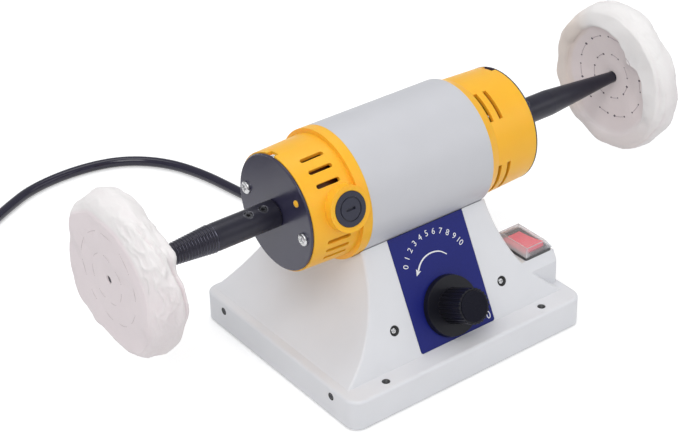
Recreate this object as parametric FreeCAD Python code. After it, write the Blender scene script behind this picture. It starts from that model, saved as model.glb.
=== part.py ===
import FreeCAD, Part
import math
import os

# A dental polishing lathe: a motor with two long tapered spindles, strapped into the
# saddle of a moulded base. Millimetres. X runs along the spindles, the control panel
# faces -Y and Z is up. The origin is on the table, under the middle of the motor.

# One overrun serves every cut.
OVERRUN = 1.0

# Clearances: pressed or screwed faces, let-in pieces, the saddle and turning pieces.
SNUG = 0.05
LOOSE = 0.2
SEAT_GAP = 0.3
RUNNING = 0.05

# Base shell: a flange with a pedestal on it, one moulding of even wall.
BASE_LENGTH = 177.6
BASE_DEPTH = 153.8
FLANGE_TOP = 20.4
FLANGE_CORNER_R = 8.5
FLANGE_EDGE_R = 2.0
SHELL_WALL = 3.0
FOOT_PROUD = 1.0

# Pedestal: its sides are hollow sweeps from a wide foot to the neck, its front and
# back are flat and lean in. The saddle is cut across its top.
NECK_HALF = 47.0
SWEEP_R = 78.0
SWEEP_SPAN = 57.25
PEDESTAL_TOP = 83.9
FRONT_STEP = 13.4
FRONT_TILT = 27.0
BACK_STEP = 2.9
BACK_TILT = 29.0
CREASE_R = 1.8

# Shelf for the switch, grown out of the right hand sweep.
SHELF_TOP = 43.0
SHELF_MARGIN = 3.15
SHELF_STEP = 8.0
SHELF_LONG = 37.5
SHELF_EDGE_R = 3.0

# Bench holes through the front of the flange and the tray below it.
BENCH_HOLE_X = 60.2
BENCH_HOLE_IN = 7.2
BENCH_HOLE_R = 2.5

# Steel tray that closes the base from below, with its side screws and feet.
TRAY_SHEET = 1.2
TRAY_LIP_TOP = 17.0
TRAY_SCREW_IN = 21.9
TRAY_SCREW_Z = 14.4
TRAY_SCREW_HEAD_R = 2.2
TRAY_SCREW_HEAD = 1.4
TRAY_SCREW_R = 1.3
TRAY_SCREW_LONG = 6.0
FOOT_R = 7.0
FOOT_X = 74.0
FOOT_IN = 16.9

# Control panel, let flush into the sloping front. Heights run up the slope.
PANEL_WIDTH = 56.4
PANEL_LOW = 0.6
PANEL_HIGH = 71.2
PANEL_SHEET = 0.8
PANEL_CORNER_R = 1.5

# Speed control behind the front: a steel strip, its two screws, the potentiometer.
CONTROL_UP = 20.6
FRONT_SCREW_X = 41.3
FRONT_SCREW_SINK_R = 3.2
FRONT_SCREW_SINK = 1.6
FRONT_SCREW_HEAD_R = 2.8
FRONT_SCREW_HEAD = 1.3
FRONT_SCREW_R = 1.5
FRONT_SCREW_PAST = 2.0
STRIP_HALF = 48.0
STRIP_LOW = 12.0
STRIP_HIGH = 30.0
STRIP_SHEET = 1.2
POT_R = 8.2
POT_DEEP = 8.0
BUSHING_R = 4.4
BUSHING_PROUD = 2.4
POT_NUT_R = 6.9
POT_NUT_HIGH = 2.0
SHAFT_STUB_R = 3.0
SHAFT_STUB_SUNK = 4.0

# Speed knob: wide skirt, fluted grip, cap let into the end of the grip.
KNOB_GAP = 0.6
SKIRT_R = 18.8
SKIRT_TOP_R = 18.2
SKIRT_HIGH = 3.6
GRIP_R = 10.8
GRIP_TOP = 25.0
FLUTES = 24
FLUTE_DEEP = 0.7
FLUTE_LAND_SHARE = 0.36
KNOB_HOLLOW_R = 8.0
KNOB_HOLLOW = 3.0
KNOB_BORE_TOP = 19.0
CAP_R = 9.4
CAP_SUNK = 1.4
CAP_PROUD = 0.5

# Speed control board, flat above the tray on four spacers.
BOARD_X = 0.0
BOARD_Y = 12.0
BOARD_LONG = 78.0
BOARD_WIDE = 54.0
BOARD_SHEET = 1.6
BOARD_HOLE_IN = 4.0
SPACER_R = 3.0
SPACER_HIGH = 6.0
BOARD_SCREW_R = 1.4
BOARD_SCREW_HEAD_R = 2.6
BOARD_SCREW_HEAD = 1.8
BOARD_SCREW_LONG = 6.0
CAPACITOR_R = 7.0
CAPACITOR_LONG = 26.0
CHOKE_R = 9.5
CHOKE_HOLE_R = 4.5
CHOKE_HIGH = 9.0
SINK_SHEET = 2.0
SINK_LONG = 30.0
SINK_HIGH = 24.0
TRIAC_WIDE = 10.0
TRIAC_HIGH = 15.0
TRIAC_DEEP = 4.4

# Rocker switch: bezel and body in the shelf, rocker on two pivots, splash cover.
SWITCH_CLEAR = 4.1
SWITCH_BACK = 18.5
BEZEL_WIDE = 21.0
BEZEL_LONG = 30.0
BEZEL_HIGH = 2.0
BEZEL_CORNER_R = 1.5
SWITCH_WIDE = 18.6
SWITCH_LONG = 26.6
SWITCH_DEEP = 17.0
POCKET_WIDE = 16.0
POCKET_LONG = 23.2
POCKET_DEEP = 7.4
PIVOT_UP = 1.0
PIVOT_R = 1.0
PIVOT_LONG = 1.5
ROCKER_WIDE = 15.2
ROCKER_HALF = 10.8
ROCKER_END_UP = 2.6
ROCKER_MIDDLE_UP = 1.9
ROCKER_END_DOWN = 0.4
ROCKER_BELLY = 6.0
ROCKER_REST = 9.0
TERMINAL_THICK = 0.8
TERMINAL_WIDE = 4.8
TERMINAL_LONG = 7.5
TERMINAL_STEP = 7.5
COVER_HIGH = 4.8
COVER_IN_X = 2.6
COVER_IN_Y = 2.4
COVER_WALL = 0.8

# Motor: the tube that holds the field, and the height of its underside. The other
# radii of the motor follow the tube's in named steps.
TUBE_LOW = 69.8
TUBE_R = 40.0
TUBE_HALF = 45.0
TUBE_WALL = 1.5

# End housings: a rim against the tube, a sleeve that tapers out to a flat end wall
# with the bearing's pocket, and posts for the screws.
SPIGOT_LONG = 4.0
RIM_END = 51.7
SLEEVE_STEP = 2.8
SLEEVE_DRAFT = 1.2
HOUSING_END = 82.7
HOUSING_WALL = 2.6
END_WALL = 3.0
BEARING_BOSS_R = 15.0
BEARING_BOSS_IN = 68.7
SHOULDER_HOLE_R = 9.0
POST_R = 4.0
POST_LONG = 6.0
NOTCH_ANGLE = 96.5
NOTCH_WIDE = 7.0
FAN_NOTCH_ANGLE = 102.0
FAN_NOTCH_WIDE = 10.0
NOTCH_LONG = 3.0
NOTCH_DEEP = 2.5

# Vent slots: along the sleeve at the commutator's end, round it at the fan's end.
SLOT_WIDE = 2.7
LONG_SLOT_IN = 58.0
LONG_SLOT_OUT = 73.6
UPPER_SLOT_FROM = 43.0
UPPER_SLOT_STEP = 14.25
LOWER_SLOT_FROM = -11.3
LOWER_SLOT_STEP = -10.65
LONG_SLOTS = 3
ROUND_SLOT_X = 53.0
ROUND_SLOT_STEP = 7.3
ROUND_SLOTS = 2
ROUND_SLOT_SPANS = ((39.0, 70.0), (-43.0, -4.0))

# Brush gear: two bosses across the sleeve, with holders, brushes, springs and caps.
BRUSH_X = 60.5
BRUSH_ANGLE = 17.0
BOSS_R = 13.5
BOSS_PROUD = 1.8
BOSS_INNER_R = 10.5
BOSS_INNER_IN = 12.0
HOLDER_R = 8.1
HOLDER_FROM = 14.0
HOLDER_IN = 3.5
BRUSH_THICK = 5.0
BRUSH_WIDE = 8.0
BRUSH_TIP = 12.3
BRUSH_TOP = 25.0
SPRING_R = 2.3
SPRING_BORE_R = 1.6
CAP_FLANGE_R = 10.2
CAP_FLANGE_IN = 1.0
CAP_FLANGE_PROUD = 2.1
CAP_STEM_R = 6.9
CAP_STEM_IN = 6.4
CAP_RING_R = 7.2
CAP_RING_WIDE = 0.8
CAP_RING_DEEP = 0.6
CAP_SLOT_LONG = 6.2
CAP_SLOT_WIDE = 1.6
CAP_SLOT_DEEP = 1.2

# End plates, their screws, and the housing's peg that locates each plate.
PLATE_IN = 0.8
PLATE_SHEET = 1.5
PLATE_HOLE_R = 6.5
PLATE_SCREW_IN = 7.2
PLATE_SCREW_ANGLE = -8.6
PLATE_SCREW_HEAD_R = 3.8
PLATE_SCREW_HEAD = 2.2
PLATE_SCREW_R = 1.9
PLATE_SCREW_LONG = 7.0
PEG_IN = 8.5
PEG_ANGLE = 36.6
PEG_R = 1.55

# Field: a ring with two poles, a coil round each pole, and the tie bolts between.
CORE_HALF = 22.0
YOKE_THICK = 5.0
POLE_ANGLE = 107.0
POLE_NECK_SPAN = 26.0
SHOE_SPAN = 50.0
POLE_DEEP = 8.9
SHOE_THICK = 3.0
COIL_SPAN = 48.0
COIL_WINDOW_SPAN = 27.0
COIL_HALF = 30.0
TIE_IN = 4.5
TIE_ANGLE = 47.0
TIE_R = 1.9
TIE_HEAD_R = 3.3
TIE_HEAD = 2.6

# Screws and nuts that hold the tube down in the saddle.
MOUNT_X = 35.5
MOUNT_R = 2.0
MOUNT_HEAD_R = 3.8
MOUNT_HEAD = 2.0
MOUNT_NUT_R = 4.2
MOUNT_NUT = 3.2
MOUNT_PAST = 1.5

# Bearings 8 x 22 x 7.
BEARING_IN = 70.7
BEARING_WIDE = 7.0
BEARING_R = 11.0
BEARING_BORE_R = 4.0
BEARING_PITCH_R = 7.5
BEARING_BALL_R = 1.98
BEARING_RING_GAP = 1.2
BALLS = 7

# Armature: shaft, slotted core, windings, commutator and fan.
SHAFT_R = 5.0
SHAFT_END = 114.0
AIR_GAP = 0.5
CORE_SLOTS = 12
CORE_SLOT_WIDE = 3.4
CORE_SLOT_DEEP = 10.1
WIRE_IN = 1.3
WIRE_HALF = 34.0
WIRE_TAPER = 8.0
WIRE_END_R = 14.0
COMMUTATOR_R = 12.0
COMMUTATOR_IN = 53.5
COMMUTATOR_OUT = 67.5
COMMUTATOR_GROOVE = 0.6
COMMUTATOR_GROOVE_DEEP = 0.8
FAN_IN = 46.0
FAN_OUT = 57.0
FAN_DISC = 1.5
FAN_CLEAR = 6.9
FAN_HUB_R = 9.0
FAN_BLADES = 8
FAN_BLADE_THICK = 1.2

# Spindles, their set screws, and the buffing wheels on their tips.
SPINDLE_START = 85.2
SPINDLE_R = 8.2
SPINDLE_TAPER = 125.0
SPINDLE_END = 192.0
SPINDLE_END_R = 2.6
SPINDLE_BORE_END = 115.2
SET_SCREW_FIRST = 93.8
SET_SCREW_STEP = 9.9
SET_SCREW_ANGLE = 71.0
SET_SCREW_R = 2.4
SET_SCREW_LONG = 3.3
SET_SCREW_HEX_R = 1.3
SET_SCREW_HEX_DEEP = 1.6
WHEEL_X = 187.6
WHEEL_R = 47.5
WHEEL_HUB_HALF = 6.0
WHEEL_HUB_R = 16.0
WHEEL_PROUD = 0.6
WHEEL_WIDE = 21.7
WHEEL_CORNER_R = 4.6
WHEEL_CROWN = 0.5
WHEEL_DISH_R = 38.5
WHEEL_DISH_SAG = 1.4
WHEEL_FACE_R = 34.0
WHEEL_PEEP_R = 2.0
WHEEL_FIT = 0.1

# Mains cord: where it leaves the back, its strain relief and its free route.
CORD_R = 3.5
CORD_EXIT_X = 17.0
CORD_EXIT_Z = 10.7
RELIEF_LONG = 28.0
RELIEF_NECK_R = 4.9
RELIEF_COLLAR_R = 7.0
RELIEF_COLLAR = 2.5
RELIEF_R = 6.0
RELIEF_END_R = 4.3
RELIEF_RIBS = 4
RELIEF_GROOVE = 2.2
RELIEF_GROOVE_DEEP = 1.0
CORD_RUN_SHARE = 0.45
CORD_FIRST_RUN = 19.1
CORD_ROUTE = (
    (13.6, 79.6, 3.5),
    (8.6, 113.1, 3.5),
    (3.8, 142.3, 3.5),
    (-5.4, 169.6, 3.5),
    (-21.4, 190.1, 3.5),
    (-41.6, 201.9, 3.5),
    (-70.9, 206.5, 3.5),
    (-103.2, 202.6, 3.5),
    (-127.5, 190.4, 3.5),
)

# Coil of the cord's length that is not laid out: two layers, wound inwards below and
# outwards above, clockwise from above.
COIL_X = -197.9
COIL_BACK = 202.5
COIL_R = 46.5
COIL_STEP = 7.9
COIL_RISE = 7.8
COIL_ENTRY = -57.0
COIL_LAYER_TURNS = 2.25
COIL_CLIMB_TURNS = 0.5
COIL_LEAD = 7.0
COIL_TAIL = 14.0
COIL_LAST_RUN = 26.0

# Plug, moulded on the end of the cord, lying on the table.
PLUG_NECK_LONG = 26.0
PLUG_NECK_R = 4.6
PLUG_NECK_END_R = 7.6
PLUG_LONG = 36.0
PLUG_WIDE = 26.0
PLUG_EDGE_R = 4.0
BLADE_APART = 12.7
BLADE_THICK = 1.5
BLADE_WIDE = 6.3
BLADE_LONG = 17.0
EARTH_R = 2.4
EARTH_LONG = 20.0
EARTH_DOWN = 6.0

HALF_X = BASE_LENGTH / 2
HALF_Y = BASE_DEPTH / 2
TRAY_TOP = FOOT_PROUD + TRAY_SHEET

# Places that follow the front and the back of the flange.
SWEEP_CENTRE_Z = FLANGE_TOP + SWEEP_R * math.sin(math.radians(SWEEP_SPAN))
FRONT_FOOT = FRONT_STEP - HALF_Y
BACK_FOOT = HALF_Y - BACK_STEP
SHELF_FRONT = FRONT_FOOT + SHELF_STEP
SHELF_BACK = SHELF_FRONT + SHELF_LONG
SWITCH_Y = SHELF_FRONT + SWITCH_BACK
BENCH_HOLE_Y = BENCH_HOLE_IN - HALF_Y
TRAY_SCREW_Y = HALF_Y - TRAY_SCREW_IN
FOOT_Y = HALF_Y - FOOT_IN

# Radii that follow the motor tube.
AXIS_HEIGHT = TUBE_LOW + TUBE_R
SADDLE_R = TUBE_R + SEAT_GAP
BORE_R = TUBE_R - TUBE_WALL
SLEEVE_R = TUBE_R - SLEEVE_STEP
SLEEVE_END_R = SLEEVE_R - SLEEVE_DRAFT
SLEEVE_BORE_R = SLEEVE_END_R - HOUSING_WALL
PLATE_R = SLEEVE_END_R - PLATE_IN
PLATE_SCREW_OUT = PLATE_R - PLATE_SCREW_IN
PEG_OUT = PLATE_R - PEG_IN
BOSS_FACE = TUBE_R + BOSS_PROUD
BOSS_INNER_FROM = TUBE_R - BOSS_INNER_IN
HOLDER_TO = TUBE_R - HOLDER_IN
CAP_FLANGE_FROM = TUBE_R - CAP_FLANGE_IN
CAP_FLANGE_TO = TUBE_R + CAP_FLANGE_PROUD
CAP_STEM_FROM = TUBE_R - CAP_STEM_IN
YOKE_INNER_R = BORE_R - YOKE_THICK
TIE_OUT = YOKE_INNER_R - TIE_IN
SHOE_R = YOKE_INNER_R - POLE_DEEP
CORE_R = SHOE_R - AIR_GAP
CORE_SLOT_FLOOR_R = CORE_R - CORE_SLOT_DEEP
WIRE_R = CORE_R - WIRE_IN
FAN_R = SLEEVE_BORE_R - FAN_CLEAR


def vec(x, y, z):
    return FreeCAD.Vector(x, y, z)


def in_yz(y, z):
    return vec(0, y, z)


def in_xz(x, z):
    return vec(x, 0, z)


def by_axis(x, radius):
    """A point above the motor axis."""
    return vec(x, 0, AXIS_HEIGHT + radius)


ORIGIN = vec(0, 0, 0)
ALONG_X = vec(1, 0, 0)
ALONG_Y = vec(0, 1, 0)
UP = vec(0, 0, 1)
AXIS = vec(0, 0, AXIS_HEIGHT)


def outline(place, start, *steps):
    """A flat face inside a closed line. place makes a point of two numbers. A step of
    two numbers is a straight line, one of four an arc through its first two."""
    edges = []
    here = place(*start)
    for step in steps + (start,):
        there = place(*step[-2:])
        if len(step) > 2:
            edges.append(Part.Arc(here, place(*step[:2]), there).toShape())
        elif not here.isEqual(there, SNUG / 10):
            edges.append(Part.LineSegment(here, there).toShape())
        here = there
    return Part.Face(Part.Wire(edges))


def extruded(face, direction, low, high):
    return face.translated(direction * low).extrude(direction * (high - low))


def block(x, y, z):
    """A box from three pairs of limits."""
    return Part.makeBox(x[1] - x[0], y[1] - y[0], z[1] - z[0], vec(x[0], y[0], z[0]))


def rod(radius, low, high):
    """A round bar on the motor axis."""
    return Part.makeCylinder(radius, high - low, vec(low, 0, AXIS_HEIGHT), ALONG_X)


def post(radius, x, y, low, high):
    """An upright round bar."""
    return Part.makeCylinder(radius, high - low, vec(x, y, low))


def turned(*corners):
    """A solid turned about the motor axis from (x, radius) corners."""
    return outline(by_axis, *corners).revolve(AXIS, ALONG_X, 360)


def spun(*corners):
    """A solid turned about Z from (radius, z) corners."""
    return outline(in_xz, *corners).revolve(ORIGIN, UP, 360)


def around(angle, out):
    """Y and Z at a distance from the motor axis. Angles rise from the front."""
    turn = math.radians(angle)
    return -out * math.cos(turn), AXIS_HEIGHT + out * math.sin(turn)


def sector(inner, outer, start, end, low, high):
    """A piece of a ring about the motor axis, between two angles."""
    middle = (start + end) / 2
    face = outline(
        in_yz,
        around(start, inner),
        around(start, outer),
        around(middle, outer) + around(end, outer),
        around(end, inner),
        around(middle, inner) + around(start, inner),
    )
    return extruded(face, ALONG_X, low, high)


def moved(shape, placement):
    """A copy of a piece, moved from where it is."""
    copy = shape.copy()
    copy.Placement = placement.multiply(shape.Placement)
    return copy


def placed(shape, point, direction):
    """A piece modelled along Z, with its origin at a point and Z along a direction."""
    return moved(shape, FreeCAD.Placement(point, FreeCAD.Rotation(UP, direction)))


def radial(shape, x, angle):
    """A piece modelled up from the motor axis, turned to an angle about it."""
    return placed(shape, vec(x, 0, AXIS_HEIGHT), in_yz(*around(angle, 1)) - AXIS)


def other_end(shape):
    return shape.mirror(ORIGIN, ALONG_X)


def both_ways(shape):
    """A piece and its mirror image across the middle of the lathe."""
    return [shape, other_end(shape)]


def on_front(shape):
    """A piece modelled flat: X across, Y up the slope, Z out of the sloping front."""
    foot = vec(0, FRONT_FOOT, FLANGE_TOP)
    turn = FreeCAD.Rotation(ALONG_X, 90 - FRONT_TILT)
    return moved(shape, FreeCAD.Placement(foot, turn))


def edges_along(shape, direction):
    """The straight edges of a piece that run along a direction."""
    return [
        edge
        for edge in shape.Edges
        if len(edge.Vertexes) == 2
        and abs((edge.Vertexes[1].Point - edge.Vertexes[0].Point).dot(direction))
        > 0.999 * edge.Length
    ]


def screw(head_r, head, shank_r, shank):
    """A screw along Z with a rounded head above zero."""
    top = Part.makeCylinder(head_r, head)
    rim = [edge for edge in top.Edges if edge.BoundBox.ZMin > head / 2]
    return top.makeFillet(head / 2, rim).fuse(
        Part.makeCylinder(shank_r, shank, vec(0, 0, -shank))
    )


def hexagon(radius, low, high, bore=0):
    """A six-sided prism along Z, with a bore where one is given."""
    points = [
        (radius * math.cos(math.radians(turn)), radius * math.sin(math.radians(turn)))
        for turn in range(0, 360, 60)
    ]
    prism = extruded(outline(lambda x, y: vec(x, y, 0), *points), UP, low, high)
    if bore:
        prism = prism.cut(
            Part.makeCylinder(bore, high - low + 2 * OVERRUN, vec(0, 0, low - OVERRUN))
        )
    return prism


# Base shell.
def sweep_half(z, inset=0):
    """Half the pedestal's width at a height."""
    radius = SWEEP_R + inset
    return NECK_HALF + SWEEP_R - math.sqrt(radius**2 - (SWEEP_CENTRE_Z - z) ** 2)


# The switch stands clear of the sweep beside it, and the shelf goes on past the switch.
SWITCH_X = sweep_half(SHELF_TOP + BEZEL_HIGH) + SWITCH_CLEAR + BEZEL_WIDE / 2
SHELF_END = SWITCH_X + BEZEL_WIDE / 2 + SHELF_MARGIN


def front_y(z, inset=0):
    tilt = math.radians(FRONT_TILT)
    return FRONT_FOOT + (z - FLANGE_TOP) * math.tan(tilt) + inset / math.cos(tilt)


def back_y(z, inset=0):
    tilt = math.radians(BACK_TILT)
    return BACK_FOOT - (z - FLANGE_TOP) * math.tan(tilt) - inset / math.cos(tilt)


def flange(inset, low, high):
    form = block(
        (inset - HALF_X, HALF_X - inset), (inset - HALF_Y, HALF_Y - inset), (low, high)
    )
    return form.makeFillet(FLANGE_CORNER_R - inset, edges_along(form, UP))


def pedestal(inset, low, high):
    """The pedestal as a solid form: its sweeps seen from the front, common to its two
    leaning faces seen from the side."""
    middle = (low + high) / 2
    wide, waist, narrow = (sweep_half(z, inset) for z in (low, middle, high))
    swept = outline(
        in_xz,
        (-wide, low),
        (wide, low),
        (waist, middle, narrow, high),
        (-narrow, high),
        (-waist, middle, -wide, low),
    )
    leaning = outline(
        in_yz,
        (front_y(low, inset), low),
        (back_y(low, inset), low),
        (back_y(high, inset), high),
        (front_y(high, inset), high),
    )
    return extruded(swept, ALONG_Y, -HALF_Y, HALF_Y).common(
        extruded(leaning, ALONG_X, -HALF_X, HALF_X)
    )


def shelf(inset, low):
    """The shelf's form. Its front follows the slope down to where it drops upright."""
    top = SHELF_TOP - inset
    front = SHELF_FRONT + inset
    tilt = math.radians(FRONT_TILT)
    knee = FLANGE_TOP + (front - inset / math.cos(tilt) - FRONT_FOOT) / math.tan(tilt)
    face = outline(
        in_yz,
        (front_y(top, inset), top),
        (front, knee),
        (front, low),
        (SHELF_BACK - inset, low),
        (SHELF_BACK - inset, top),
    )
    return extruded(face, ALONG_X, NECK_HALF, SHELF_END - inset)


def panel_form(grow, depth):
    """The control panel's outline, or the recess that takes it."""
    half = PANEL_WIDTH / 2 + grow
    form = block((-half, half), (PANEL_LOW - grow, PANEL_HIGH + grow), (-depth, 0))
    low = [edge for edge in edges_along(form, UP) if edge.BoundBox.YMax < PANEL_HIGH / 2]
    return form.makeFillet(PANEL_CORNER_R + grow, low)


def front_hole(radius, x, low, high):
    """A round bar square to the sloping front, at the height of the controls."""
    return on_front_at(Part.makeCylinder(radius, high - low, vec(0, 0, low)), x)


def on_front_at(shape, x=0):
    """A piece modelled along Z, standing on the front at the height of the controls."""
    return on_front(shape.translated(vec(x, CONTROL_UP, 0)))


body = flange(0, FOOT_PROUD, FLANGE_TOP)
body = body.makeFillet(
    FLANGE_EDGE_R, [e for e in body.Edges if e.BoundBox.ZMin > FLANGE_TOP - SNUG]
)
stand = pedestal(0, FLANGE_TOP - FLANGE_EDGE_R, PEDESTAL_TOP)
stand = stand.makeFillet(
    CREASE_R, [e for e in stand.Edges if e.BoundBox.ZLength > PEDESTAL_TOP / 2]
)
ledge = shelf(0, FLANGE_TOP - FLANGE_EDGE_R)
ledge = ledge.makeFillet(
    SHELF_EDGE_R,
    [
        e
        for e in ledge.Edges
        if e.BoundBox.XMin > SHELF_END - SNUG and e.BoundBox.ZMax > FLANGE_TOP
    ],
)
saddle = rod(SADDLE_R, -HALF_X, HALF_X)
saddle_wall = rod(SADDLE_R + SHELL_WALL, -HALF_X, HALF_X)
inside_low = FLANGE_TOP - SHELL_WALL - OVERRUN
inside = (
    flange(SHELL_WALL, FOOT_PROUD - OVERRUN, FLANGE_TOP - SHELL_WALL)
    .fuse(pedestal(SHELL_WALL, inside_low, PEDESTAL_TOP - SHELL_WALL).cut(saddle_wall))
    .fuse(shelf(SHELL_WALL, inside_low))
)
cuts = [
    saddle,
    on_front(panel_form(LOOSE, PANEL_SHEET)),
    front_hole(BUSHING_R + LOOSE, 0, -2 * SHELL_WALL, OVERRUN),
]
for side in (-1, 1):
    screw_x = side * FRONT_SCREW_X
    cuts.append(front_hole(FRONT_SCREW_R + LOOSE, screw_x, -2 * SHELL_WALL, OVERRUN))
    cuts.append(front_hole(FRONT_SCREW_SINK_R, screw_x, -FRONT_SCREW_SINK, OVERRUN))
    cuts.append(
        post(BENCH_HOLE_R, side * BENCH_HOLE_X, BENCH_HOLE_Y, 0, FLANGE_TOP + OVERRUN)
    )
    cuts.append(
        post(
            MOUNT_R + LOOSE,
            side * MOUNT_X,
            0,
            AXIS_HEIGHT - SADDLE_R - SHELL_WALL - OVERRUN,
            AXIS_HEIGHT,
        )
    )
switch_half_x = SWITCH_WIDE / 2 + LOOSE
switch_half_y = SWITCH_LONG / 2 + LOOSE
cuts.append(
    block(
        (SWITCH_X - switch_half_x, SWITCH_X + switch_half_x),
        (SWITCH_Y - switch_half_y, SWITCH_Y + switch_half_y),
        (SHELF_TOP - SHELL_WALL - OVERRUN, SHELF_TOP + OVERRUN),
    )
)
cuts.append(
    Part.makeCylinder(
        RELIEF_NECK_R + SNUG,
        SHELL_WALL + 2 * OVERRUN,
        vec(CORD_EXIT_X, HALF_Y - SHELL_WALL - OVERRUN, CORD_EXIT_Z),
        ALONG_Y,
    )
)


def tray_screw_form(grow):
    """A countersunk screw along Z, its head flush at zero."""
    head_r = TRAY_SCREW_HEAD_R + grow
    shank_r = TRAY_SCREW_R + grow
    return spun(
        (0, 0),
        (head_r, 0),
        (shank_r, -TRAY_SCREW_HEAD),
        (shank_r, -TRAY_SCREW_LONG),
        (0, -TRAY_SCREW_LONG),
    )


def tray_screw_places(shape):
    """The shape at each of the four screws through the flange's ends."""
    return [
        placed(shape, vec(end * HALF_X, way * TRAY_SCREW_Y, TRAY_SCREW_Z), vec(end, 0, 0))
        for end in (-1, 1)
        for way in (-1, 1)
    ]


base_shell = body.fuse([stand, ledge]).cut(inside).cut(cuts)
base_shell = base_shell.cut(tray_screw_places(tray_screw_form(SNUG))).removeSplitter()

# Tray, feet and their screws.
tray_x = HALF_X - SHELL_WALL - SEAT_GAP
tray_y = HALF_Y - SHELL_WALL - SEAT_GAP
tray = block((-tray_x, tray_x), (-tray_y, tray_y), (FOOT_PROUD, TRAY_LIP_TOP))
tray = tray.makeFillet(FLANGE_CORNER_R - SHELL_WALL, edges_along(tray, UP))
lip_y = HALF_Y - FLANGE_CORNER_R
tray = tray.cut(
    block(
        (TRAY_SHEET - tray_x, tray_x - TRAY_SHEET),
        (-HALF_Y, HALF_Y),
        (TRAY_TOP, TRAY_LIP_TOP + OVERRUN),
    )
)
for way in (-1, 1):
    near, far = sorted((way * lip_y, way * HALF_Y))
    tray = tray.cut(
        block((-HALF_X, HALF_X), (near, far), (TRAY_TOP, TRAY_LIP_TOP + OVERRUN))
    )
tray = tray.cut(tray_screw_places(tray_screw_form(SNUG)))
for side in (-1, 1):
    tray = tray.cut(
        post(
            BENCH_HOLE_R + LOOSE,
            side * BENCH_HOLE_X,
            BENCH_HOLE_Y,
            0,
            TRAY_TOP + OVERRUN,
        )
    )
bottom_plate = tray
bottom_plate_screws = Part.makeCompound(tray_screw_places(tray_screw_form(0)))
rubber_feet = Part.makeCompound(
    [
        post(FOOT_R, across * FOOT_X, along * FOOT_Y, 0, FOOT_PROUD)
        for across in (-1, 1)
        for along in (-1, 1)
    ]
)

# Front: panel, strip, screws and potentiometer.
strip_face = -SHELL_WALL
strip_back = strip_face - STRIP_SHEET
control_panel = on_front(
    panel_form(0, PANEL_SHEET).cut(
        Part.makeCylinder(
            BUSHING_R + LOOSE,
            PANEL_SHEET + 2 * OVERRUN,
            vec(0, CONTROL_UP, -PANEL_SHEET - OVERRUN),
        )
    )
).cut(saddle)
strip = on_front(
    block((-STRIP_HALF, STRIP_HALF), (STRIP_LOW, STRIP_HIGH), (strip_back, strip_face))
)
strip = strip.cut(front_hole(BUSHING_R + LOOSE, 0, strip_back - OVERRUN, 0))
for side in (-1, 1):
    strip = strip.cut(
        front_hole(FRONT_SCREW_R + SNUG, side * FRONT_SCREW_X, strip_back - OVERRUN, 0)
    )
pot_bracket = strip
front_screw = screw(
    FRONT_SCREW_HEAD_R,
    FRONT_SCREW_HEAD,
    FRONT_SCREW_R,
    SHELL_WALL - FRONT_SCREW_SINK + STRIP_SHEET + FRONT_SCREW_PAST,
)
front_screw.translate(vec(0, 0, -FRONT_SCREW_SINK))
pedestal_screws = Part.makeCompound(
    [on_front_at(front_screw, side * FRONT_SCREW_X) for side in (-1, 1)]
)
stub_low = strip_back - SHAFT_STUB_SUNK
speed_pot = front_hole(POT_R, 0, strip_back - POT_DEEP, strip_back)
speed_pot = speed_pot.fuse(front_hole(BUSHING_R, 0, strip_back, BUSHING_PROUD))
speed_pot = speed_pot.cut(
    front_hole(SHAFT_STUB_R + RUNNING, 0, stub_low, BUSHING_PROUD + OVERRUN)
)
pot_nut = on_front_at(hexagon(POT_NUT_R, 0, POT_NUT_HIGH, BUSHING_R + SNUG))
pot_shaft = front_hole(SHAFT_STUB_R, 0, stub_low + LOOSE, KNOB_BORE_TOP)


# Knob.
def fluted(radius, low, high):
    """A grip with rounded flutes between narrow lands."""
    step = 2 * math.pi / FLUTES
    land = step * FLUTE_LAND_SHARE / 2

    def at(angle, out):
        return out * math.cos(angle), out * math.sin(angle)

    steps = []
    for flute in range(FLUTES):
        middle = flute * step
        steps.append(at(middle + land, radius))
        steps.append(
            at(middle + step / 2, radius - FLUTE_DEEP) + at(middle + step - land, radius)
        )
    start = at(-land, radius)
    return extruded(
        outline(lambda x, y: vec(x, y, 0), start, *steps[:-1], steps[-1][:2] + start),
        UP,
        low,
        high,
    )


skirt_top = KNOB_GAP + SKIRT_HIGH
knob = Part.makeCone(SKIRT_R, SKIRT_TOP_R, SKIRT_HIGH, vec(0, 0, KNOB_GAP))
knob = knob.fuse(fluted(GRIP_R, skirt_top - SKIRT_HIGH / 2, GRIP_TOP))
knob = knob.cut(Part.makeCylinder(KNOB_HOLLOW_R, KNOB_GAP + KNOB_HOLLOW))
knob = knob.cut(Part.makeCylinder(SHAFT_STUB_R, KNOB_BORE_TOP))
cap_floor = GRIP_TOP - CAP_SUNK
knob = knob.cut(
    Part.makeCylinder(CAP_R + SNUG, CAP_SUNK + OVERRUN, vec(0, 0, cap_floor))
)
speed_knob = on_front_at(knob)
cap = Part.makeCylinder(CAP_R, CAP_SUNK + CAP_PROUD, vec(0, 0, cap_floor))
cap_rim = [e for e in cap.Edges if e.BoundBox.ZMin > cap_floor + CAP_SUNK]
knob_cap = on_front_at(cap.makeFillet(CAP_PROUD / 2, cap_rim))

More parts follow.
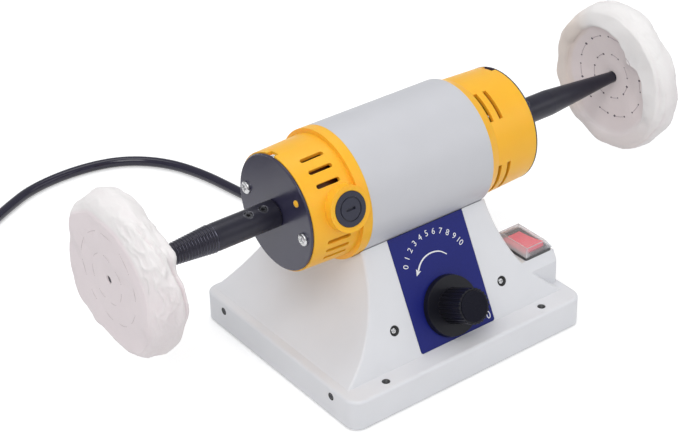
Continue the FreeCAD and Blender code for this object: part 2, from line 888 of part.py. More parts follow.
# Speed control board with what stands on it.
board_low = TRAY_TOP + SPACER_HIGH
board_top = board_low + BOARD_SHEET
board_half_x = BOARD_LONG / 2
board_half_y = BOARD_WIDE / 2
board_corners = [
    (
        BOARD_X + across * (board_half_x - BOARD_HOLE_IN),
        BOARD_Y + along * (board_half_y - BOARD_HOLE_IN),
    )
    for across in (-1, 1)
    for along in (-1, 1)
]
board = block(
    (BOARD_X - board_half_x, BOARD_X + board_half_x),
    (BOARD_Y - board_half_y, BOARD_Y + board_half_y),
    (board_low, board_top),
)
spacers = []
board_bolts = []
for x, y in board_corners:
    board = board.cut(post(BOARD_SCREW_R + SNUG, x, y, 0, board_top + OVERRUN))
    spacers.append(
        post(SPACER_R, x, y, TRAY_TOP, board_low).cut(
            post(
                BOARD_SCREW_R + SNUG,
                x,
                y,
                board_top - BOARD_SCREW_LONG,
                board_low + OVERRUN,
            )
        )
    )
    bolt = screw(
        BOARD_SCREW_HEAD_R, BOARD_SCREW_HEAD, BOARD_SCREW_R, BOARD_SCREW_LONG - LOOSE
    )
    bolt.translate(vec(x, y, board_top))
    board_bolts.append(bolt)
speed_control_board = board
board_spacers = Part.makeCompound(spacers)
board_screws = Part.makeCompound(board_bolts)
capacitor = Part.makeCylinder(
    CAPACITOR_R,
    CAPACITOR_LONG,
    vec(BOARD_X - CAPACITOR_LONG / 2, BOARD_Y + board_half_y / 2, board_top + CAPACITOR_R),
    ALONG_X,
)
choke_x = BOARD_X - board_half_x / 2
choke_y = BOARD_Y - board_half_y / 3
choke = post(CHOKE_R, choke_x, choke_y, board_top, board_top + CHOKE_HIGH).cut(
    post(CHOKE_HOLE_R, choke_x, choke_y, board_top - OVERRUN, board_top + 2 * CHOKE_HIGH)
)
sink_y = BOARD_Y - board_half_y / 2
sink_x = BOARD_X + board_half_x / 2
sink = block(
    (sink_x - SINK_LONG / 2, sink_x + SINK_LONG / 2),
    (sink_y, sink_y + SINK_SHEET),
    (board_top, board_top + SINK_HIGH),
)
triac = block(
    (sink_x - TRIAC_WIDE / 2, sink_x + TRIAC_WIDE / 2),
    (sink_y - TRIAC_DEEP, sink_y),
    (board_top, board_top + TRIAC_HIGH),
)
board_components = Part.makeCompound([capacitor, choke, sink.fuse(triac)])

# Rocker switch.
bezel_top = SHELF_TOP + BEZEL_HIGH
pivot_z = SHELF_TOP + PIVOT_UP


def about_switch(half_x, half_y, low, high):
    return block(
        (SWITCH_X - half_x, SWITCH_X + half_x),
        (SWITCH_Y - half_y, SWITCH_Y + half_y),
        (low, high),
    )


def pivots(radius, half):
    """The rocker's pivot line, or the bore for it."""
    return Part.makeCylinder(
        radius, 2 * half, vec(SWITCH_X - half, SWITCH_Y, pivot_z), ALONG_X
    )


bezel = about_switch(BEZEL_WIDE / 2, BEZEL_LONG / 2, SHELF_TOP, bezel_top)
bezel = bezel.makeFillet(BEZEL_CORNER_R, edges_along(bezel, UP))
switch_floor = bezel_top - POCKET_DEEP - BEZEL_HIGH
pivot_half = ROCKER_WIDE / 2 + PIVOT_LONG
switch_body = (
    bezel.fuse(
        about_switch(
            SWITCH_WIDE / 2, SWITCH_LONG / 2, SHELF_TOP - SWITCH_DEEP, bezel_top
        )
    )
    .cut(
        about_switch(POCKET_WIDE / 2, POCKET_LONG / 2, switch_floor, bezel_top + OVERRUN)
    )
    .cut(pivots(PIVOT_R + RUNNING, pivot_half + LOOSE))
    .removeSplitter()
)
switch_low = SHELF_TOP - SWITCH_DEEP
switch_terminals = Part.makeCompound(
    [
        block(
            (SWITCH_X - TERMINAL_WIDE / 2, SWITCH_X + TERMINAL_WIDE / 2),
            (
                SWITCH_Y + step * TERMINAL_STEP - TERMINAL_THICK / 2,
                SWITCH_Y + step * TERMINAL_STEP + TERMINAL_THICK / 2,
            ),
            (switch_low - TERMINAL_LONG, switch_low),
        )
        for step in (-1, 0, 1)
    ]
)
rocker_side = outline(
    lambda y, z: vec(0, SWITCH_Y + y, pivot_z + z),
    (-ROCKER_HALF, ROCKER_END_UP),
    (-ROCKER_HALF, -ROCKER_END_DOWN),
    (0, -ROCKER_BELLY, ROCKER_HALF, -ROCKER_END_DOWN),
    (ROCKER_HALF, ROCKER_END_UP),
    (0, ROCKER_MIDDLE_UP, -ROCKER_HALF, ROCKER_END_UP),
)
rocker = extruded(
    rocker_side, ALONG_X, SWITCH_X - ROCKER_WIDE / 2, SWITCH_X + ROCKER_WIDE / 2
)
rocker = rocker.fuse(pivots(PIVOT_R, pivot_half))
rocker.rotate(vec(SWITCH_X, SWITCH_Y, pivot_z), ALONG_X, -ROCKER_REST)
switch_rocker = rocker


def cover_form(wall, low, high):
    """The splash cover's form between two heights, as a lofted frustum."""
    sections = []
    for height, rise in ((low, 0), (high, 1)):
        half_x = BEZEL_WIDE / 2 - rise * COVER_IN_X - wall
        half_y = BEZEL_LONG / 2 - rise * COVER_IN_Y - wall
        corners = [
            vec(SWITCH_X + half_x * x, SWITCH_Y + half_y * y, height)
            for x, y in ((-1, -1), (1, -1), (1, 1), (-1, 1), (-1, -1))
        ]
        sections.append(Part.makePolygon(corners))
    return Part.makeLoft(sections, True, True)


cover_top = bezel_top + COVER_HIGH
switch_cover = cover_form(0, bezel_top, cover_top).cut(
    cover_form(COVER_WALL, bezel_top, cover_top - COVER_WALL)
)

# Motor tube, held down in the saddle.
motor_tube = rod(TUBE_R, -TUBE_HALF, TUBE_HALF).cut(
    rod(BORE_R, -TUBE_HALF - OVERRUN, TUBE_HALF + OVERRUN)
)
head_seat = AXIS_HEIGHT - math.sqrt(BORE_R**2 - MOUNT_HEAD_R**2)
nut_top = AXIS_HEIGHT - SADDLE_R - SHELL_WALL
mount_bolt = screw(
    MOUNT_HEAD_R, MOUNT_HEAD, MOUNT_R, head_seat - nut_top + MOUNT_NUT + MOUNT_PAST
)
mount_bolts = []
mount_nuts = []
for side in (-1, 1):
    motor_tube = motor_tube.cut(
        post(
            MOUNT_R + LOOSE,
            side * MOUNT_X,
            0,
            AXIS_HEIGHT - TUBE_R - OVERRUN,
            AXIS_HEIGHT - TUBE_R / 2,
        )
    )
    mount_bolts.append(placed(mount_bolt, vec(side * MOUNT_X, 0, head_seat), UP))
    nut = hexagon(MOUNT_NUT_R, nut_top - MOUNT_NUT, nut_top, MOUNT_R + SNUG)
    nut.translate(vec(side * MOUNT_X, 0, 0))
    mount_nuts.append(nut)
motor_mount_screws = Part.makeCompound(mount_bolts)
motor_mount_nuts = Part.makeCompound(mount_nuts)

# End housings, modelled at the +X end.
spigot_r = BORE_R - SNUG
wall_in = HOUSING_END - END_WALL
plate_out = HOUSING_END + PLATE_SHEET
bearing_out = BEARING_IN + BEARING_WIDE
vent_floor_r = SLEEVE_BORE_R - HOUSING_WALL


def housing_form(*rim):
    """Sleeve, end wall and bearing pocket; rim gives the outline next to the tube."""
    return turned(
        (TUBE_HALF - SPIGOT_LONG, spigot_r),
        (TUBE_HALF, spigot_r),
        *rim,
        (HOUSING_END, SLEEVE_END_R),
        (HOUSING_END, SHOULDER_HOLE_R),
        (bearing_out, SHOULDER_HOLE_R),
        (bearing_out, BEARING_R + SNUG),
        (BEARING_BOSS_IN, BEARING_R + SNUG),
        (BEARING_BOSS_IN, BEARING_BOSS_R),
        (wall_in, BEARING_BOSS_R),
        (wall_in, SLEEVE_BORE_R),
        (RIM_END, SLEEVE_R - HOUSING_WALL),
        (TUBE_HALF - SPIGOT_LONG, spigot_r - HOUSING_WALL),
    )


def along_motor(radius, out, angle, low, high):
    """A round bar beside the motor axis."""
    y, z = around(angle, out)
    return Part.makeCylinder(radius, high - low, vec(low, y, z), ALONG_X)


def with_posts(housing):
    """The housing with its screw posts, holes, sinks for the tie bolts, and peg."""
    post_in = wall_in - POST_LONG
    through = (post_in - OVERRUN, HOUSING_END + OVERRUN)
    for turn in (0, 180):
        housing = housing.fuse(
            [
                along_motor(POST_R, PLATE_SCREW_OUT, PLATE_SCREW_ANGLE + turn, post_in,
                            wall_in),
                along_motor(POST_R, TIE_OUT, TIE_ANGLE + turn, post_in, wall_in),
            ]
        ).cut(
            [
                along_motor(PLATE_SCREW_R + SNUG, PLATE_SCREW_OUT,
                            PLATE_SCREW_ANGLE + turn, *through),
                along_motor(TIE_R + LOOSE, TIE_OUT, TIE_ANGLE + turn, *through),
                along_motor(TIE_HEAD_R + LOOSE, TIE_OUT, TIE_ANGLE + turn,
                            HOUSING_END - TIE_HEAD - LOOSE, HOUSING_END + OVERRUN),
            ]
        )
    return housing.fuse(along_motor(PEG_R, PEG_OUT, PEG_ANGLE, wall_in, plate_out))


def long_slot(angle):
    """One vent slot along the sleeve, with round ends."""
    half = SLOT_WIDE / 2
    low, high = LONG_SLOT_IN + half, LONG_SLOT_OUT - half
    face = outline(
        lambda x, y: vec(x, y, 0),
        (low, -half),
        (high, -half),
        (high + half, 0, high, half),
        (low, half),
        (low - half, 0, low, -half),
    )
    return radial(extruded(face, UP, vent_floor_r, TUBE_R), 0, angle)


boss = Part.makeCylinder(
    BOSS_INNER_R, BOSS_FACE - BOSS_INNER_FROM, vec(0, 0, BOSS_INNER_FROM)
).fuse(
    Part.makeCylinder(
        BOSS_R,
        BOSS_FACE - SLEEVE_BORE_R,
        vec(0, 0, SLEEVE_BORE_R),
    )
)
boss_bore = Part.makeCylinder(HOLDER_R + LOOSE, BOSS_FACE).fuse(
    Part.makeCylinder(
        CAP_FLANGE_R + LOOSE, TUBE_R, vec(0, 0, CAP_FLANGE_FROM - SNUG)
    )
)
brush_end = housing_form((TUBE_HALF, TUBE_R), (RIM_END, TUBE_R), (RIM_END, SLEEVE_R))
for turn in (0, 180):
    brush_end = brush_end.fuse(radial(boss, BRUSH_X, BRUSH_ANGLE + turn))
    brush_end = brush_end.cut(radial(boss_bore, BRUSH_X, BRUSH_ANGLE + turn))
    slots = [
        long_slot(first + step * number + turn)
        for first, step in (
            (UPPER_SLOT_FROM, UPPER_SLOT_STEP),
            (LOWER_SLOT_FROM, LOWER_SLOT_STEP),
        )
        for number in range(LONG_SLOTS)
    ]
    brush_end = brush_end.cut(slots)


def notch(wide, angle):
    """A notch across the outer edge of a housing's sleeve."""
    form = block(
        (-NOTCH_LONG, OVERRUN),
        (-wide / 2, wide / 2),
        (SLEEVE_END_R - NOTCH_DEEP, TUBE_R),
    )
    return radial(form, HOUSING_END, angle)


brush_end = brush_end.cut(notch(NOTCH_WIDE, NOTCH_ANGLE))
left_end_housing = other_end(with_posts(brush_end))

rim_middle = (TUBE_HALF + RIM_END) / 2
fan_end = housing_form(
    (TUBE_HALF, TUBE_R), (rim_middle, (TUBE_R + SLEEVE_R) / 2), (RIM_END, SLEEVE_R)
)
for number in range(ROUND_SLOTS):
    slot_low = ROUND_SLOT_X + number * ROUND_SLOT_STEP - SLOT_WIDE / 2
    for start, end in ROUND_SLOT_SPANS:
        for turn in (0, 180):
            fan_end = fan_end.cut(
                sector(
                    vent_floor_r, TUBE_R, start + turn, end + turn,
                    slot_low, slot_low + SLOT_WIDE,
                )
            )
fan_end = fan_end.cut(notch(FAN_NOTCH_WIDE, FAN_NOTCH_ANGLE))
right_end_housing = with_posts(fan_end)

# End plates and screws, modelled at the +X end.
plate = rod(PLATE_R, HOUSING_END, plate_out)
plate_edge = [e for e in plate.Edges if e.BoundBox.XMin > plate_out - SNUG]
plate = plate.makeFillet(PLATE_SHEET / 2, plate_edge)
plate = plate.cut(rod(PLATE_HOLE_R, HOUSING_END - OVERRUN, plate_out + OVERRUN))
plate_span = (HOUSING_END - OVERRUN, plate_out + OVERRUN)
plate = plate.cut(
    [
        along_motor(PLATE_SCREW_R + LOOSE, PLATE_SCREW_OUT, PLATE_SCREW_ANGLE, *plate_span),
        along_motor(
            PLATE_SCREW_R + LOOSE, PLATE_SCREW_OUT, PLATE_SCREW_ANGLE + 180, *plate_span
        ),
        along_motor(PEG_R + SNUG, PEG_OUT, PEG_ANGLE, *plate_span),
    ]
)
right_end_plate = plate
left_end_plate = other_end(plate)
plate_screw = screw(
    PLATE_SCREW_HEAD_R, PLATE_SCREW_HEAD, PLATE_SCREW_R, PLATE_SHEET + PLATE_SCREW_LONG
)
plate_screws = []
for turn in (0, 180):
    y, z = around(PLATE_SCREW_ANGLE + turn, PLATE_SCREW_OUT)
    plate_screws += both_ways(placed(plate_screw, vec(plate_out, y, z), ALONG_X))
end_plate_screws = Part.makeCompound(plate_screws)

# Field core, coils and tie bolts.
yoke_r = BORE_R - SNUG
shoe_back = SHOE_R + SHOE_THICK
stator_core = rod(yoke_r, -CORE_HALF, CORE_HALF).cut(
    rod(YOKE_INNER_R, -CORE_HALF - OVERRUN, CORE_HALF + OVERRUN)
)
field = []
for pole in (POLE_ANGLE, POLE_ANGLE + 180):
    neck = (pole - POLE_NECK_SPAN, pole + POLE_NECK_SPAN)
    shoe = (pole - SHOE_SPAN, pole + SHOE_SPAN)
    stator_core = stator_core.fuse(
        [
            sector(shoe_back - OVERRUN, yoke_r - OVERRUN, *neck, -CORE_HALF, CORE_HALF),
            sector(SHOE_R, shoe_back, *shoe, -CORE_HALF, CORE_HALF),
        ]
    )
    winding = sector(
        shoe_back + SEAT_GAP,
        YOKE_INNER_R - SEAT_GAP,
        pole - COIL_SPAN,
        pole + COIL_SPAN,
        -COIL_HALF,
        COIL_HALF,
    )
    window = sector(
        shoe_back - OVERRUN,
        yoke_r,
        pole - COIL_WINDOW_SPAN,
        pole + COIL_WINDOW_SPAN,
        -CORE_HALF - SEAT_GAP,
        CORE_HALF + SEAT_GAP,
    )
    field.append(winding.cut(window))
stator_core = stator_core.removeSplitter()
field_coils = Part.makeCompound(field)
tie_bolts = []
tie_nuts = []
tie_face = HOUSING_END - TIE_HEAD - LOOSE
for turn in (0, 180):
    angle = TIE_ANGLE + turn
    tie_bolts.append(
        along_motor(TIE_R, TIE_OUT, angle, -tie_face, tie_face + TIE_HEAD).fuse(
            along_motor(TIE_HEAD_R, TIE_OUT, angle, -tie_face - TIE_HEAD, -tie_face)
        )
    )
    y, z = around(angle, TIE_OUT)
    tie_nuts.append(
        placed(
            hexagon(TIE_HEAD_R, 0, TIE_HEAD, TIE_R + SNUG), vec(tie_face, y, z), ALONG_X
        )
    )
motor_tie_bolts = Part.makeCompound(tie_bolts)
motor_tie_nuts = Part.makeCompound(tie_nuts)

# Brush gear, modelled up from the axis.
channel_x = BRUSH_WIDE / 2 + LOOSE / 2
channel_y = BRUSH_THICK / 2 + LOOSE / 2
holder = Part.makeCylinder(HOLDER_R, HOLDER_TO - HOLDER_FROM, vec(0, 0, HOLDER_FROM))
holder = holder.cut(
    [
        block(
            (-channel_x, channel_x), (-channel_y, channel_y), (0, HOLDER_TO + OVERRUN)
        ),
        Part.makeCylinder(
            CAP_STEM_R + SNUG, HOLDER_TO, vec(0, 0, CAP_STEM_FROM - SNUG)
        ),
    ]
)
brush = block(
    (-BRUSH_WIDE / 2, BRUSH_WIDE / 2),
    (-BRUSH_THICK / 2, BRUSH_THICK / 2),
    (BRUSH_TIP, BRUSH_TOP),
)
spring_long = CAP_STEM_FROM - BRUSH_TOP
spring = Part.makeCylinder(SPRING_R, spring_long, vec(0, 0, BRUSH_TOP)).cut(
    Part.makeCylinder(SPRING_BORE_R, spring_long + 2 * OVERRUN, vec(0, 0, BRUSH_TOP - OVERRUN))
)
ring_floor = CAP_FLANGE_TO - CAP_RING_DEEP
brush_cap = Part.makeCylinder(
    CAP_FLANGE_R, CAP_FLANGE_TO - CAP_FLANGE_FROM, vec(0, 0, CAP_FLANGE_FROM)
).fuse(Part.makeCylinder(CAP_STEM_R, CAP_FLANGE_TO - CAP_STEM_FROM, vec(0, 0, CAP_STEM_FROM)))
brush_cap = brush_cap.cut(
    [
        Part.makeCylinder(CAP_RING_R, TUBE_R, vec(0, 0, ring_floor)).cut(
            Part.makeCylinder(CAP_RING_R - CAP_RING_WIDE, 2 * TUBE_R)
        ),
        block(
            (-CAP_SLOT_LONG / 2, CAP_SLOT_LONG / 2),
            (-CAP_SLOT_WIDE / 2, CAP_SLOT_WIDE / 2),
            (CAP_FLANGE_TO - CAP_SLOT_DEEP, TUBE_R + CAP_FLANGE_TO),
        ),
    ]
)


def both_brushes(shape):
    return Part.makeCompound(
        [radial(shape, -BRUSH_X, BRUSH_ANGLE + turn) for turn in (0, 180)]
    )


brush_holders = both_brushes(holder)
carbon_brushes = both_brushes(brush)
brush_springs = both_brushes(spring)
brush_caps = both_brushes(brush_cap)

# Bearings.
race_low = BEARING_PITCH_R - BEARING_RING_GAP
race_high = BEARING_PITCH_R + BEARING_RING_GAP
bearing_middle = BEARING_IN + BEARING_WIDE / 2
groove_r = BEARING_BALL_R + RUNNING
groove_half = math.sqrt(groove_r**2 - BEARING_RING_GAP**2)


def ring(land, other, deepest):
    """A bearing ring whose land has a round groove for the balls."""
    return turned(
        (BEARING_IN, other),
        (bearing_out, other),
        (bearing_out, land),
        (bearing_middle + groove_half, land),
        (bearing_middle, deepest, bearing_middle - groove_half, land),
        (BEARING_IN, land),
    )


bearing_inner_rings = Part.makeCompound(
    both_ways(ring(race_low, BEARING_BORE_R, BEARING_PITCH_R - groove_r))
)
bearing_outer_rings = Part.makeCompound(
    both_ways(ring(race_high, BEARING_R, BEARING_PITCH_R + groove_r))
)
balls = []
for number in range(BALLS):
    y, z = around(number * 360 / BALLS, BEARING_PITCH_R)
    balls += both_ways(Part.makeSphere(BEARING_BALL_R, vec(bearing_middle, y, z)))
bearing_balls = Part.makeCompound(balls)

# Armature.
armature_shaft = turned(
    (-SHAFT_END, 0),
    (-SHAFT_END, BEARING_BORE_R),
    (-BEARING_IN, BEARING_BORE_R),
    (-BEARING_IN, SHAFT_R),
    (BEARING_IN, SHAFT_R),
    (BEARING_IN, BEARING_BORE_R),
    (SHAFT_END, BEARING_BORE_R),
    (SHAFT_END, 0),
)
armature_core = rod(CORE_R, -CORE_HALF, CORE_HALF).cut(
    rod(SHAFT_R, -CORE_HALF - OVERRUN, CORE_HALF + OVERRUN)
)
slot_half = CORE_SLOT_WIDE / 2
wire_half = slot_half - LOOSE
slot_cuts = []
wires = []
for number in range(CORE_SLOTS):
    angle = number * 360 / CORE_SLOTS
    slot_cuts.append(
        radial(
            block(
                (-CORE_HALF - OVERRUN, CORE_HALF + OVERRUN),
                (-slot_half, slot_half),
                (CORE_SLOT_FLOOR_R, CORE_R + OVERRUN),
            ),
            0,
            angle,
        )
    )
    wires.append(
        radial(
            block(
                (-WIRE_HALF + OVERRUN, WIRE_HALF - OVERRUN),
                (-wire_half, wire_half),
                (CORE_SLOT_FLOOR_R + LOOSE, WIRE_R - OVERRUN),
            ),
            0,
            angle,
        )
    )
armature_core = armature_core.cut(slot_cuts)
wire_in = CORE_HALF + LOOSE
armature_windings = turned(
    (-COMMUTATOR_IN, SHAFT_R),
    (-COMMUTATOR_IN, COMMUTATOR_R - COMMUTATOR_GROOVE_DEEP),
    (-WIRE_HALF - WIRE_TAPER, WIRE_END_R),
    (-WIRE_HALF, WIRE_R),
    (-wire_in, WIRE_R),
    (-wire_in, SHAFT_R),
).fuse(
    turned(
        (wire_in, SHAFT_R),
        (wire_in, WIRE_R),
        (WIRE_HALF, WIRE_R),
        (WIRE_HALF + WIRE_TAPER / 2, WIRE_END_R),
        (WIRE_HALF + WIRE_TAPER / 2, SHAFT_R),
    )
)
armature_windings = armature_windings.fuse(wires).removeSplitter()
commutator = rod(COMMUTATOR_R, -COMMUTATOR_OUT, -COMMUTATOR_IN).cut(
    rod(SHAFT_R, -COMMUTATOR_OUT - OVERRUN, -COMMUTATOR_IN + OVERRUN)
)
commutator = commutator.cut(
    [
        radial(
            block(
                (-COMMUTATOR_OUT - OVERRUN, -COMMUTATOR_IN + OVERRUN),
                (-COMMUTATOR_GROOVE / 2, COMMUTATOR_GROOVE / 2),
                (COMMUTATOR_R - COMMUTATOR_GROOVE_DEEP, COMMUTATOR_R + OVERRUN),
            ),
            0,
            (number + 0.5) * 360 / CORE_SLOTS,
        )
        for number in range(CORE_SLOTS)
    ]
)
blades = [
    radial(
        block(
            (FAN_IN + FAN_DISC / 2, FAN_OUT),
            (-FAN_BLADE_THICK / 2, FAN_BLADE_THICK / 2),
            (FAN_HUB_R - OVERRUN, FAN_R - OVERRUN),
        ),
        0,
        number * 360 / FAN_BLADES,
    )
    for number in range(FAN_BLADES)
]
cooling_fan = (
    rod(FAN_R, FAN_IN, FAN_IN + FAN_DISC)
    .fuse(blades + [rod(FAN_HUB_R, FAN_IN, FAN_OUT)])
    .cut(rod(SHAFT_R, FAN_IN - OVERRUN, FAN_OUT + OVERRUN))
    .removeSplitter()
)


# Spindles, set screws and wheels, modelled at the +X end.
def taper_r(x):
    """The spindle's radius along its taper."""
    share = (x - SPINDLE_TAPER) / (SPINDLE_END - SPINDLE_TAPER)
    return SPINDLE_R + (SPINDLE_END_R - SPINDLE_R) * share


spindle = turned(
    (SPINDLE_START, BEARING_BORE_R + SNUG),
    (SPINDLE_START, SPINDLE_R),
    (SPINDLE_TAPER, SPINDLE_R),
    (SPINDLE_END, SPINDLE_END_R),
    (SPINDLE_END, 0),
    (SPINDLE_BORE_END, 0),
    (SPINDLE_BORE_END, BEARING_BORE_R + SNUG),
)
set_screw = hexagon(SET_SCREW_HEX_R, SET_SCREW_LONG - SET_SCREW_HEX_DEEP, SET_SCREW_LONG * 2)
set_screw = Part.makeCylinder(SET_SCREW_R, SET_SCREW_LONG).cut(set_screw)
set_screw.translate(vec(0, 0, BEARING_BORE_R + SNUG))
set_screws = []
for number in range(2):
    at = SET_SCREW_FIRST + number * SET_SCREW_STEP
    spindle = spindle.cut(
        radial(
            Part.makeCylinder(SET_SCREW_R + SNUG, 2 * SPINDLE_R), at, SET_SCREW_ANGLE
        )
    )
    set_screws += both_ways(radial(set_screw, at, SET_SCREW_ANGLE))
right_spindle = spindle
left_spindle = other_end(spindle)
spindle_set_screws = Part.makeCompound(set_screws)

wheel_in = WHEEL_X - WHEEL_HUB_HALF
wheel_out = WHEEL_X + WHEEL_HUB_HALF
rim_out = wheel_out + WHEEL_PROUD
rim_in = rim_out - WHEEL_WIDE
shoulder_r = WHEEL_R - WHEEL_CROWN
corner_in = WHEEL_CORNER_R * (1 - math.sqrt(0.5))
dish_x = (wheel_in + rim_in) / 2 - WHEEL_DISH_SAG
dish_r = (WHEEL_HUB_R + WHEEL_DISH_R) / 2
wheel = turned(
    (wheel_in, taper_r(wheel_in) + WHEEL_FIT),
    (wheel_in, WHEEL_HUB_R),
    (dish_x, dish_r, rim_in, WHEEL_DISH_R),
    (rim_in, shoulder_r - WHEEL_CORNER_R),
    (
        rim_in + corner_in, shoulder_r - corner_in,
        rim_in + WHEEL_CORNER_R, shoulder_r,
    ),
    (
        (rim_in + rim_out) / 2, WHEEL_R,
        rim_out - WHEEL_CORNER_R, shoulder_r,
    ),
    (
        rim_out - corner_in, shoulder_r - corner_in,
        rim_out, shoulder_r - WHEEL_CORNER_R,
    ),
    (rim_out, WHEEL_FACE_R),
    (wheel_out, WHEEL_HUB_R),
    (wheel_out, WHEEL_PEEP_R),
    (SPINDLE_END + WHEEL_FIT, WHEEL_PEEP_R),
    (SPINDLE_END + WHEEL_FIT, SPINDLE_END_R + WHEEL_FIT),
)
right_buffing_wheel = wheel
left_buffing_wheel = other_end(wheel)

# Strain relief in the back of the flange.
back_in = -SHELL_WALL
relief = [
    (0, back_in - RELIEF_COLLAR),
    (RELIEF_COLLAR_R, back_in - RELIEF_COLLAR),
    (RELIEF_COLLAR_R, back_in),
    (RELIEF_NECK_R, back_in),
    (RELIEF_NECK_R, 0),
    (RELIEF_COLLAR_R, 0),
    (RELIEF_COLLAR_R, RELIEF_COLLAR),
]
rib_step = (RELIEF_LONG - RELIEF_COLLAR) / (RELIEF_RIBS + 1)


def relief_r(along):
    share = (along - RELIEF_COLLAR) / (RELIEF_LONG - RELIEF_COLLAR)
    return RELIEF_R + (RELIEF_END_R - RELIEF_R) * share


relief.append((RELIEF_R, RELIEF_COLLAR))
for number in range(1, RELIEF_RIBS + 1):
    low = RELIEF_COLLAR + number * rib_step - RELIEF_GROOVE / 2
    high = low + RELIEF_GROOVE
    relief += [
        (relief_r(low), low),
        (relief_r(low) - RELIEF_GROOVE_DEEP, low),
        (relief_r(high) - RELIEF_GROOVE_DEEP, high),
        (relief_r(high), high),
    ]
relief += [(RELIEF_END_R, RELIEF_LONG), (0, RELIEF_LONG)]
strain_relief = placed(spun(*relief), vec(CORD_EXIT_X, HALF_Y, CORD_EXIT_Z), ALONG_Y)


# Mains cord.
def corner_arc(start, corner, end):
    """The arc that leaves start towards corner and reaches end away from it, and its
    radius. Both ends lie equally far from the corner."""
    into = (corner - start).normalize()
    away = (end - corner).normalize()
    half = into.getAngle(away) / 2
    radius = (corner - start).Length / math.tan(half)
    inwards = (away - into).normalize()
    middle = corner + inwards * (radius / math.cos(half) - radius)
    return Part.Arc(start, middle, end).toShape(), radius


def tube(edges):
    """A solid tube of the cord's size along edges that run on smoothly."""
    first = edges[0]
    start = first.valueAt(first.FirstParameter)
    heading = first.tangentAt(first.FirstParameter)
    pipe = Part.BRepOffsetAPI.MakePipeShell(Part.Wire(edges))
    pipe.add(Part.Wire([Part.makeCircle(CORD_R, start, heading)]))
    pipe.build()
    pipe.makeSolid()
    return pipe.shape()


def report_volume(name, solid, edges):
    length = sum(edge.Length for edge in edges)
    ideal = math.pi * CORD_R**2 * length
    print(f"{name}: length {length:.1f}, volume over section times length "
          f"{solid.Volume / ideal:.4f}, valid {solid.isValid()}")
    return length


def coil_at(turns):
    """The coil's centre line and its direction after a number of turns."""
    climb_end = COIL_LAYER_TURNS + COIL_CLIMB_TURNS
    whole = COIL_LAYER_TURNS + climb_end
    inner = COIL_R - COIL_STEP * COIL_LAYER_TURNS
    if turns <= COIL_LAYER_TURNS:
        radius, growth = COIL_R - COIL_STEP * turns, -COIL_STEP
        height, climb = CORD_R, 0
    elif turns >= climb_end:
        radius, growth = COIL_R - COIL_STEP * (whole - turns), COIL_STEP
        height, climb = CORD_R + COIL_RISE, 0
    else:
        part = (turns - COIL_LAYER_TURNS) / COIL_CLIMB_TURNS - 0.5
        sag = COIL_STEP * COIL_CLIMB_TURNS
        radius = inner + sag * (part**2 - 0.25)
        growth = 2 * COIL_STEP * part
        height = CORD_R + COIL_RISE * (1 + math.sin(math.pi * part)) / 2
        climb = COIL_RISE * math.pi * math.cos(math.pi * part) / 2 / COIL_CLIMB_TURNS
    angle = math.radians(COIL_ENTRY) - 2 * math.pi * turns
    out = vec(math.cos(angle), math.sin(angle), 0)
    across = vec(math.sin(angle), -math.cos(angle), 0)
    point = vec(COIL_X, HALF_Y + COIL_BACK, height) + out * radius
    heading = out * growth + across * (2 * math.pi * radius) + UP * climb
    return point, heading.normalize()


def biarc(start, leaving, end, arriving):
    """Two arcs that join two points smoothly with given directions."""
    across = end - start
    lean = across.dot(leaving + arriving)
    slack = 2 * (1 - leaving.dot(arriving))
    reach = (math.sqrt(lean**2 + slack * across.dot(across)) - lean) / slack
    first = start + leaving * reach
    last = end - arriving * reach
    middle = (first + last) * 0.5
    arcs = [corner_arc(start, first, middle), corner_arc(middle, last, end)]
    return [arc for arc, radius in arcs], min(radius for arc, radius in arcs)


coil_turns = 2 * COIL_LAYER_TURNS + COIL_CLIMB_TURNS
quarters = [step / 4 for step in range(round(4 * coil_turns) + 1)]
coil_start, coil_heading = coil_at(0)
coil_end, plug_heading = coil_at(coil_turns)
lead = coil_start - coil_heading * COIL_LEAD
tail = coil_end + plug_heading * COIL_TAIL
coil_edges = [Part.LineSegment(lead, coil_start).toShape()]
tightest = COIL_R
for before, after in zip(quarters, quarters[1:]):
    arcs, radius = biarc(*coil_at(before), *coil_at(after))
    coil_edges += arcs
    tightest = min(tightest, radius)
coil_edges.append(Part.LineSegment(coil_end, tail).toShape())
cord_coil = tube(coil_edges)

samples = [coil_at(coil_turns * n / 600) for n in range(601)]
line = [point for point, heading in samples]
apart = round(600 * 0.4 / coil_turns)
least = min(
    a.distanceToPoint(b)
    for n, a in enumerate(line)
    for b in line[n + apart:]
)
print(f"coil: tightest radius {tightest:.1f}, least gap to itself "
      f"{least - 2 * CORD_R:.2f}")

exit_point = vec(CORD_EXIT_X, HALF_Y + RELIEF_LONG, CORD_EXIT_Z)
route = [exit_point, exit_point + ALONG_Y * CORD_FIRST_RUN]
route += [vec(x, HALF_Y + back, z) for x, back, z in CORD_ROUTE]
route += [lead - coil_heading * COIL_LAST_RUN, lead]
run_edges = []
here = route[0]
radii = []
for before, corner, after in zip(route, route[1:], route[2:]):
    cut = CORD_RUN_SHARE * min((corner - before).Length, (after - corner).Length)
    start = corner + (before - corner).normalize() * cut
    end = corner + (after - corner).normalize() * cut
    arc, radius = corner_arc(start, corner, end)
    run_edges += [Part.LineSegment(here, start).toShape(), arc]
    radii.append(radius)
    here = end
run_edges.append(Part.LineSegment(here, route[-1]).toShape())
cord_run = tube(run_edges)
print("runs:", ", ".join(f"{(b - a).Length:.1f}" for a, b in zip(route, route[1:])))
print("bend radii:", ", ".join(f"{radius:.1f}" for radius in radii))
run_length = report_volume("cord run", cord_run, run_edges)
coil_length = report_volume("cord coil", cord_coil, coil_edges)
print(f"cord in all: {run_length + coil_length:.1f}")

